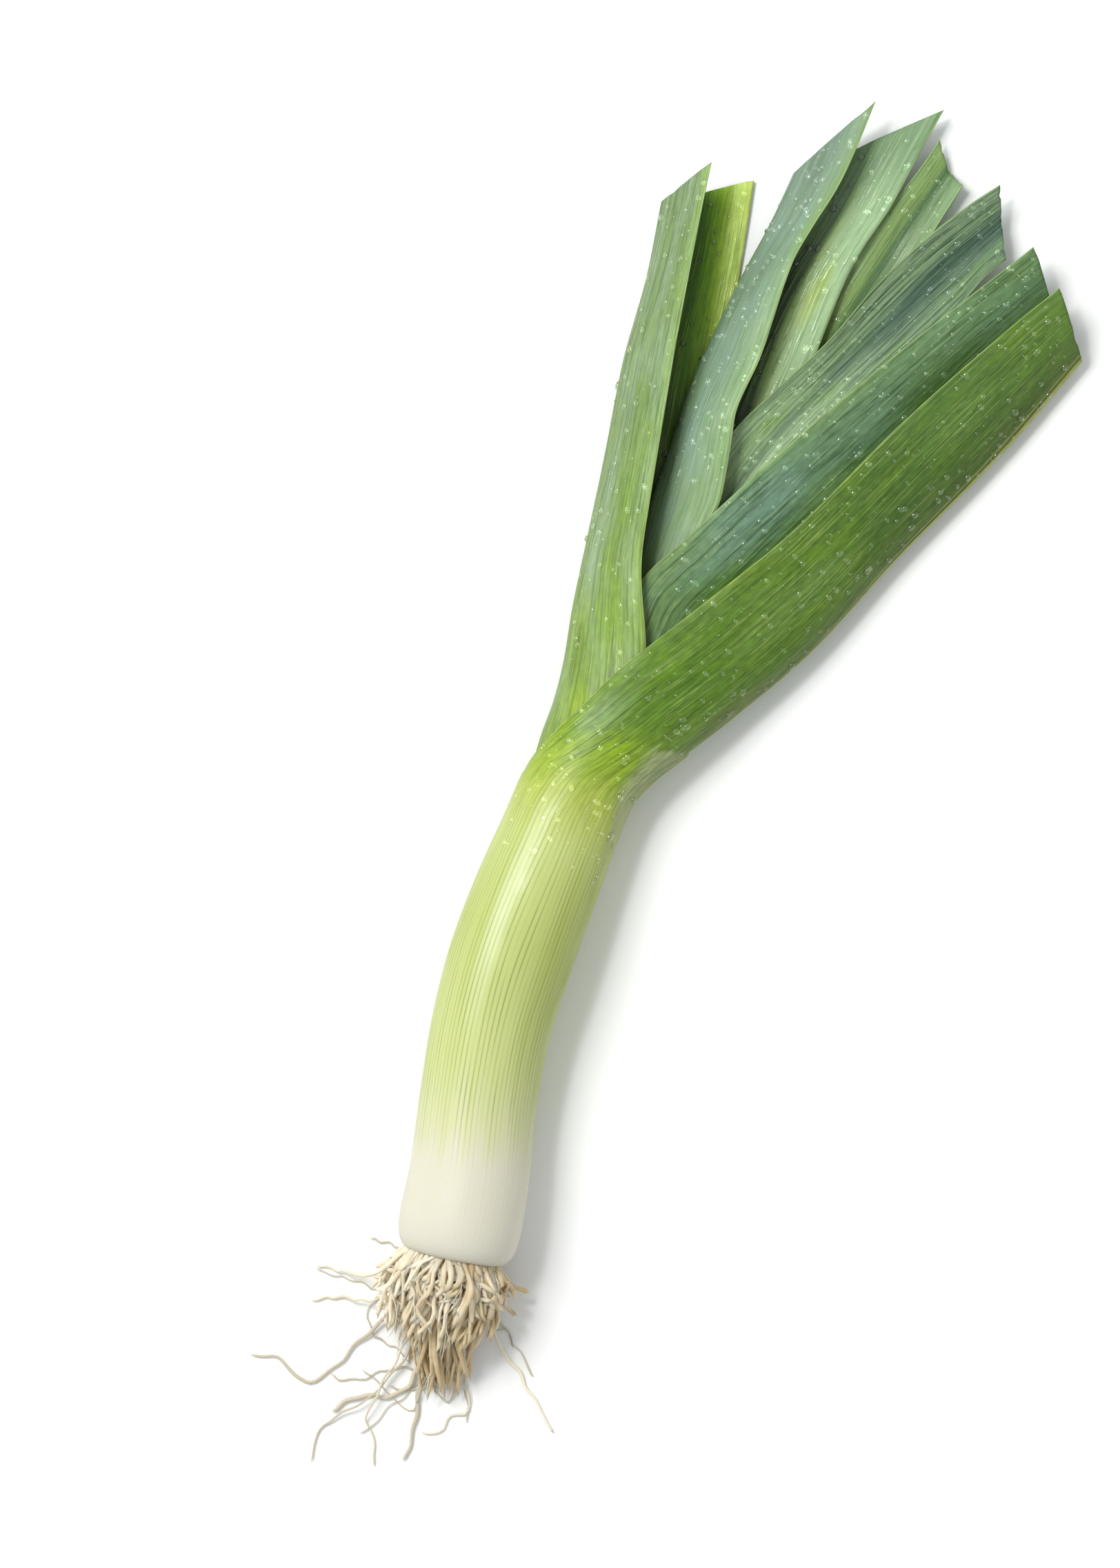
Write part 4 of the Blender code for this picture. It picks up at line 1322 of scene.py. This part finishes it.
def make_leaves(stem: Stem) -> list[Leaf]:
    """Lists the six leaves from the outermost in.

    Args:
        stem: the shaft that they leave.

    Returns:
        The leaves.
    """
    return [
        Leaf(
            name="outer_leaf", node="leaf_1_right", lines=LINES["outer_leaf"], stem=stem,
            half_width=46.0, wrap=((0, 170), (14, 136), (24, 121), (41, 105), (60, 90), (240, 90)),
            under=((0, 170), (4, 140), (8, 112), (12, 95), (20, 90), (240, 90)),
            roundness=(1.0, 0.55), ring=20.4, sheath_length=stem.length + 0.7, rows=330, columns=80,
            outer=OUTER_SKIN, inner=OUTER_LINING, rim=PALE_RIM, seed=0.4,
        ),
        Leaf(
            name="left_leaf", node="leaf_2_left", lines=LINES["left_leaf"], stem=stem,
            half_width=30.0, wrap=((0, 170), (14, 148), (26, 125), (40, 105), (55, 90), (240, 90)),
            roundness=(1.0, 0.15), ring=17.9, side=Side.LEFT, sheath_length=40.0, rows=220,
            outer=blade_skin(
                "left_leaf_skin", "#7D9730", "#6F894A", "#6C8456", vein="#48652C", light="#9FB57E",
                wax="#8A9F84", fresh="#6F8F1A", wax_share=0.65, fresh_share=0.5, vein_share=0.62,
                bands=((-1, "#74965A", 0.0), (0.7, "#74965A", 0.0), (0.95, "#8FB04A", 0.4)),
                stains=((19, 54, 8, 20, "#76991C", 0.7), (12, 24, 7, 10, "#93AE2E", 0.6),
                        (22, 104, 5, 18, "#789A34", 0.4), (10, 80, 6, 26, "#93A88A", 0.5),
                        (12, 182, 5, 18, "#5E8030", 0.4)),
            ),
            inner=blade_skin(
                "left_leaf_lining", "#66901A", "#5E8A16", "#6E981E", vein="#42630C", light="#A4BE3E",
                vein_share=0.35, wax="#86A84C", wax_share=0.15, roughness=0.3, hidden=(0.70, 0.50),
                # The dark bands under and just past the upper half's margin are painted shade. The pale
                # yellow-green at the outer margin is partly the leaf's own colour and partly painted light.
                bands=((-1, "#C4D76E", 1.0), (-0.83, "#C0DA70", 0.95), (-0.75, "#9ABA38", 0.85),
                       (-0.66, "#709E1A", 0.9), (-0.58, "#4A780C", 0.9), (-0.52, "#345A0C", 0.95),
                       (0, "#2A480A", 0.95)),
            ),
            seed=1.3,
        ),
        Leaf(
            name="second_right_leaf", node="leaf_3_right", lines=LINES["second_right_leaf"], stem=stem,
            half_width=36.0, wrap=((0, 165), (13, 125), (32, 100), (46, 90), (240, 90)),
            roundness=(1.0, 0.5),
            outer=blade_skin(
                "second_right_leaf_skin", "#70902A", "#4E6C2E", "#47682A", vein="#2F4C1C", light="#88A266",
                wax="#5E7E5E", fresh="#5E851F", wax_share=0.6, fresh_share=0.4, vein_share=0.65,
                mottling=0.9, bands=((-1, "#50743D", 0.0), (0.35, "#41631F", 0.55), (0.7, "#56785C", 0.5),
                                        (0.95, "#6E8C66", 0.5)),
                stains=((18, 70, 9, 20, "#4E7812", 0.75), (30, 98, 8, 34, "#6A8C7C", 0.7),
                        (18, 118, 8, 22, "#5E8448", 0.6), (21, 172, 10, 26, "#36561A", 0.65),
                        (30, 150, 6, 26, "#5B7C5C", 0.5), (14, 205, 6, 20, "#587C5A", 0.5)),
            ),
            inner=blade_skin(
                "second_right_leaf_lining", "#77972C", "#5E8230", "#52782A", vein="#3F601C",
                light="#90AA4E", wax="#7E9664", wax_share=0.3,
            ),
            seed=2.2,
        ),
        Leaf(
            name="second_left_leaf", node="leaf_4_left", lines=LINES["second_left_leaf"], stem=stem,
            half_width=24.0, wrap=((0, 165), (18, 115), (42, 90), (260, 90)), roundness=(1.0, 0.2),
            outer=blade_skin(
                "second_left_leaf_skin", "#74904A", "#7E9B76", "#647668", vein="#5A7759", light="#A3B896",
                wax="#8AA598", wax_share=0.6, fresh_share=0.12, vein_share=0.35, light_share=0.25,
                roughness=0.48, mottling=0.25, striping=0.3,
                bands=((-1, "#7E9F7C", 0.0), (0.6, "#7E9F7C", 0.0), (0.96, "#86A65A", 0.6)),
                stains=((16, 42, 8, 14, "#4F6A34", 0.6), (20, 205, 5, 14, "#7E9078", 0.4)),
            ),
            inner=blade_skin(
                # Its colours near the neck and halfway are lightened to make up for the shadow that the upper
                # half casts on it: painted light over the lining's own green.
                "second_left_leaf_lining", "#98B65A", "#ABC798", "#86A47E", vein="#5E8844",
                light="#BCD09C", wax="#9CBB92", wax_share=0.5, vein_share=0.4, light_share=0.16,
                roughness=0.28, mottling=0.35, hidden=(0.57, 0.46), bands_from=(238.0, 160.0),
                # The dark bands next to and under the upper half's margin are painted shade, and they fade
                # out towards the tip.
                bands=((-1, "#9CBA8C", 0.3), (-0.8, "#A4C28E", 0.4), (-0.75, "#B4CE88", 0.5),
                       (-0.70, "#94B440", 0.55), (-0.65, "#2A4410", 0.95), (-0.58, "#16260A", 0.98),
                       (0, "#16260A", 0.98)),
                stains=((-20, 210, 16, 24, "#64805E", 0.75), (-19.5, 152, 2.2, 13, "#B6C95C", 0.6)),
            ),
            seed=3.1,
        ),
        Leaf(
            name="channel_leaf", node="leaf_5_right", lines=LINES["channel_leaf"], stem=stem,
            half_width=15.0, wrap=((0, 80), (40, 60), (240, 50)), roundness=(1.0, 0.6), fold=Fold.CHANNEL,
            outer=blade_skin("channel_leaf_skin", "#7A9A3E", "#66895E", "#66895E"),
            # Along its middle this lining is darker, by the dark keel colour, the bands about 0 and the stain
            # at its tip: painted shade in the channel's groove.
            inner=blade_skin(
                "channel_leaf_lining", "#92B46C", "#9AB882", "#62805C", vein="#213A30", light="#A6BC94",
                wax="#88A286", wax_share=0.4, fresh="#6E9630", fresh_share=0.45, vein_share=0.75,
                keel="#2F4A3C", beside_keel="#33503C", keel_share=0.5, pitch=1.9,
                evenness=0.9, bands_from=(138.0, 192.0), veins_from=(60.0, 170.0),
                bands=((-1, "#7E9C6E", 0.6), (-0.5, "#5B7A52", 0.55), (-0.22, "#4C6A5A", 0.75),
                       (0.0, "#446252", 0.85), (0.2, "#506E5E", 0.75), (0.45, "#7E9C6E", 0.45),
                       (1, "#93AA86", 0.6)),
                stains=((1, 218, 8, 30, "#3F5A44", 0.55),),
            ),
            seed=4.4,
        ),
        Leaf(
            name="narrow_leaf", node="leaf_6_right", lines=LINES["narrow_leaf"], stem=stem,
            half_width=9.0, wrap=((0, 60), (240, 60)), roundness=(1.0, 0.5), fold=Fold.CHANNEL, columns=36,
            outer=blade_skin("narrow_leaf_skin", "#7A9A3E", "#5E8448", "#5E8448"),
            inner=blade_skin(
                "narrow_leaf_lining", "#A8C27A", "#96B472", "#647E50", vein="#4C6E3C", light="#AAC084",
                wax="#94AC8C", keel="#3F6036", beside_keel="#4A6A42", keel_share=0.8, pitch=1.2, mottling=0.3,
                bands=((-1, "#90B284", 0.5), (-0.2, "#5E8250", 0.4), (0.3, "#98B65A", 0.5),
                       (1, "#90B070", 0.5)),
            ),
            seed=5.2,
        ),
    ]


# Each trailing root's radius and the points that it runs through, in millimetres.
TRAILING_ROOTS = (
    (1.0, (-95, -188, 7), (-109, -200, 2.2), (-123, -214, 1.2), (-132, -218, 1.1), (-141.5, -209, 1.1),
     (-152.3, -208, 1.0)),
    (1.35, (-84, -196, 6), (-93, -217.8, 2), (-100.5, -223, 1.5), (-112, -223, 1.4), (-122.5, -228.5, 1.3)),
    (0.7, (-90, -200, 5), (-104, -219.5, 4.2), (-115, -227.5, 3.2), (-124.7, -233.2, 1), (-128.2, -241, 0.9),
     (-130, -247.8, 0.9)),
    (0.7, (-92, -198, 6), (-107.7, -226.5, 4.2), (-109.2, -232.5, 1), (-106.7, -239.7, 0.9),
     (-106.2, -248.8, 0.9)),
    (1.2, (-82, -198, 5), (-88.7, -213.5, 2.4), (-91, -228, 1.4), (-93, -239.7, 1.3), (-96, -246.7, 1.2)),
    (1.0, (-66, -190, 6), (-60.7, -204.7, 2), (-55.7, -211.2, 1.2), (-50.5, -220, 1.1), (-43.2, -232.5, 1),
     (-41, -236.2, 1)),
    (0.8, (-74, -196, 6), (-77, -213.5, 2), (-72.5, -220.7, 1.1), (-73.2, -229.5, 1), (-79.2, -230.7, 1),
     (-82.7, -236.5, 1), (-89, -236, 0.9)),
    (0.8, (-94, -183, 12), (-109, -187.7, 5), (-119.5, -186.7, 1.4), (-129.5, -187.7, 1)),
    (0.8, (-92, -177, 16), (-105.5, -178.2, 9), (-119.5, -177, 2), (-127.5, -174.8, 1)),
)

# The points on the floor that each hair-fine root runs through.
HAIR_ROOTS = (
    ((-90, -213), (-97.2, -212.6), (-105.2, -214.4), (-110.6, -216.6), (-118.7, -217), (-123, -214.8)),
    ((-91.9, -227.8), (-99, -224.3), (-105.3, -218), (-111, -212.6)),
    ((-93.7, -210), (-98.2, -205.4), (-102.6, -203.7), (-107.1, -201)),
    ((-104, -186), (-108, -190.3), (-108.8, -195.6), (-107, -200), (-103, -203)),
    ((-84.7, -218), (-83, -223.3), (-79.4, -225.1), (-75.8, -220.6)),
    ((-59.7, -196.6), (-56.1, -202.8), (-50.8, -210.8), (-48.6, -215.7)),
    ((-74, -214.4), (-72.7, -224.2), (-72.2, -233)),
    ((-61.5, -198.3), (-58, -199.2), (-55.3, -205.5)),
    ((-96, -172), (-98, -168.5), (-108.5, -165)),
    ((-104, -184), (-114, -180.5), (-125.5, -177.5), (-128, -175)),
    ((-88, -215), (-94, -222), (-101, -227), (-106, -233), (-112, -236.5)),
    ((-80, -212), (-86, -219), (-94, -221), (-101, -219.5)),
)


@dataclass
class Studio:
    """The pale floor, the soft light from the upper left, and the camera that looks straight down."""

    camera_height: float = 2.02
    view_centre: tuple[float, float] = (-0.0385, 0.001)
    view_height: float = 0.5685
    middle_height: float = 0.02
    sensor: float = 36.0
    floor_side: float = 6.0
    floor_drop: float = 0.0001
    lamps: tuple[tuple, ...] = (
        ("key_light", (-0.78, 0.6, 1.5), 0.7, 23.0),
        ("small_light", (-0.5, 0.55, 1.4), 0.12, 3.0),
    )
    sky: tuple[float, ...] = (0.97, 0.985, 1.0, 1.0)
    sky_strength: float = 0.62

    def floor(self) -> None:
        """Lays the floor just under the leek."""
        sheet = bmesh.new()
        bmesh.ops.create_grid(sheet, x_segments=1, y_segments=1, size=self.floor_side / 2)
        bmesh.ops.translate(sheet, verts=sheet.verts, vec=(0, 0, -self.floor_drop))
        floor = mesh_object("floor", sheet, [MattBoard().build()])

    def lamp(self, name: str, place: tuple, size: float, power: float) -> None:
        """Hangs a square soft lamp that faces the leek.

        Args:
            name: the lamp's name.
            place: where it hangs, in metres.
            size: its side, in metres.
            power: its power in watts.
        """
        light = bpy.data.lights.new(name, "AREA")
        light.size = size
        light.energy = power
        lamp = put(name, light)
        lamp.location = place
        lamp.rotation_euler = (-Vector(place)).to_track_quat("-Z", "Y").to_euler()

    def build(self) -> None:
        """Sets up the floor, the light and the camera."""
        self.floor()
        for lamp in self.lamps:
            self.lamp(*lamp)
        world = bpy.data.worlds.new("soft_room")
        world.use_nodes = True
        background = world.node_tree.nodes["Background"].inputs
        background[0].default_value = self.sky
        background[1].default_value = self.sky_strength
        bpy.context.scene.world = world
        bpy.context.scene.view_settings.view_transform = "Standard"
        lens = bpy.data.cameras.new("camera")
        lens.sensor_width = self.sensor
        lens.lens = self.sensor * (self.camera_height - self.middle_height) / self.view_height
        camera = put("camera", lens)
        camera.location = (*self.view_centre, self.camera_height)
        bpy.context.scene.camera = camera


def main() -> None:
    """Builds every piece in order and reports it."""
    logging.basicConfig(level=logging.INFO, format="%(name)s: %(message)s")
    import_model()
    stem = Stem()
    leaves = make_leaves(stem)
    for leaf in leaves:
        leaf.build(("shaft",) if leaf.name == "outer_leaf" else ())
        LOG.info("%s, %.0f mm long", leaf.name, leaf.length + leaf.sheath_length)
    bunch = RootBunch(stem, TRAILING_ROOTS, HAIR_ROOTS)
    bunch.build()
    LOG.info("root_bunch, %d short roots", bunch.count)
    drops = Drops(leaves, {
        "outer_leaf": (420, 0.36, 0.99, 0.1, 0.98),
        "left_leaf": (240, 0.3, 0.99, -0.98, 0.95),
        "second_right_leaf": (260, 0.25, 0.99, 0.35, 0.98),
        "second_left_leaf": (420, 0.4, 0.99, -0.98, 0.95),
        "channel_leaf": (190, 0.45, 0.99, -0.9, 0.95),
        "narrow_leaf": (90, 0.6, 0.99, -0.9, 0.9),
    })
    drops.build()
    LOG.info("water_drops on %d leaves", len(leaves))
    Studio().build()


if __name__ == "__main__":
    main()
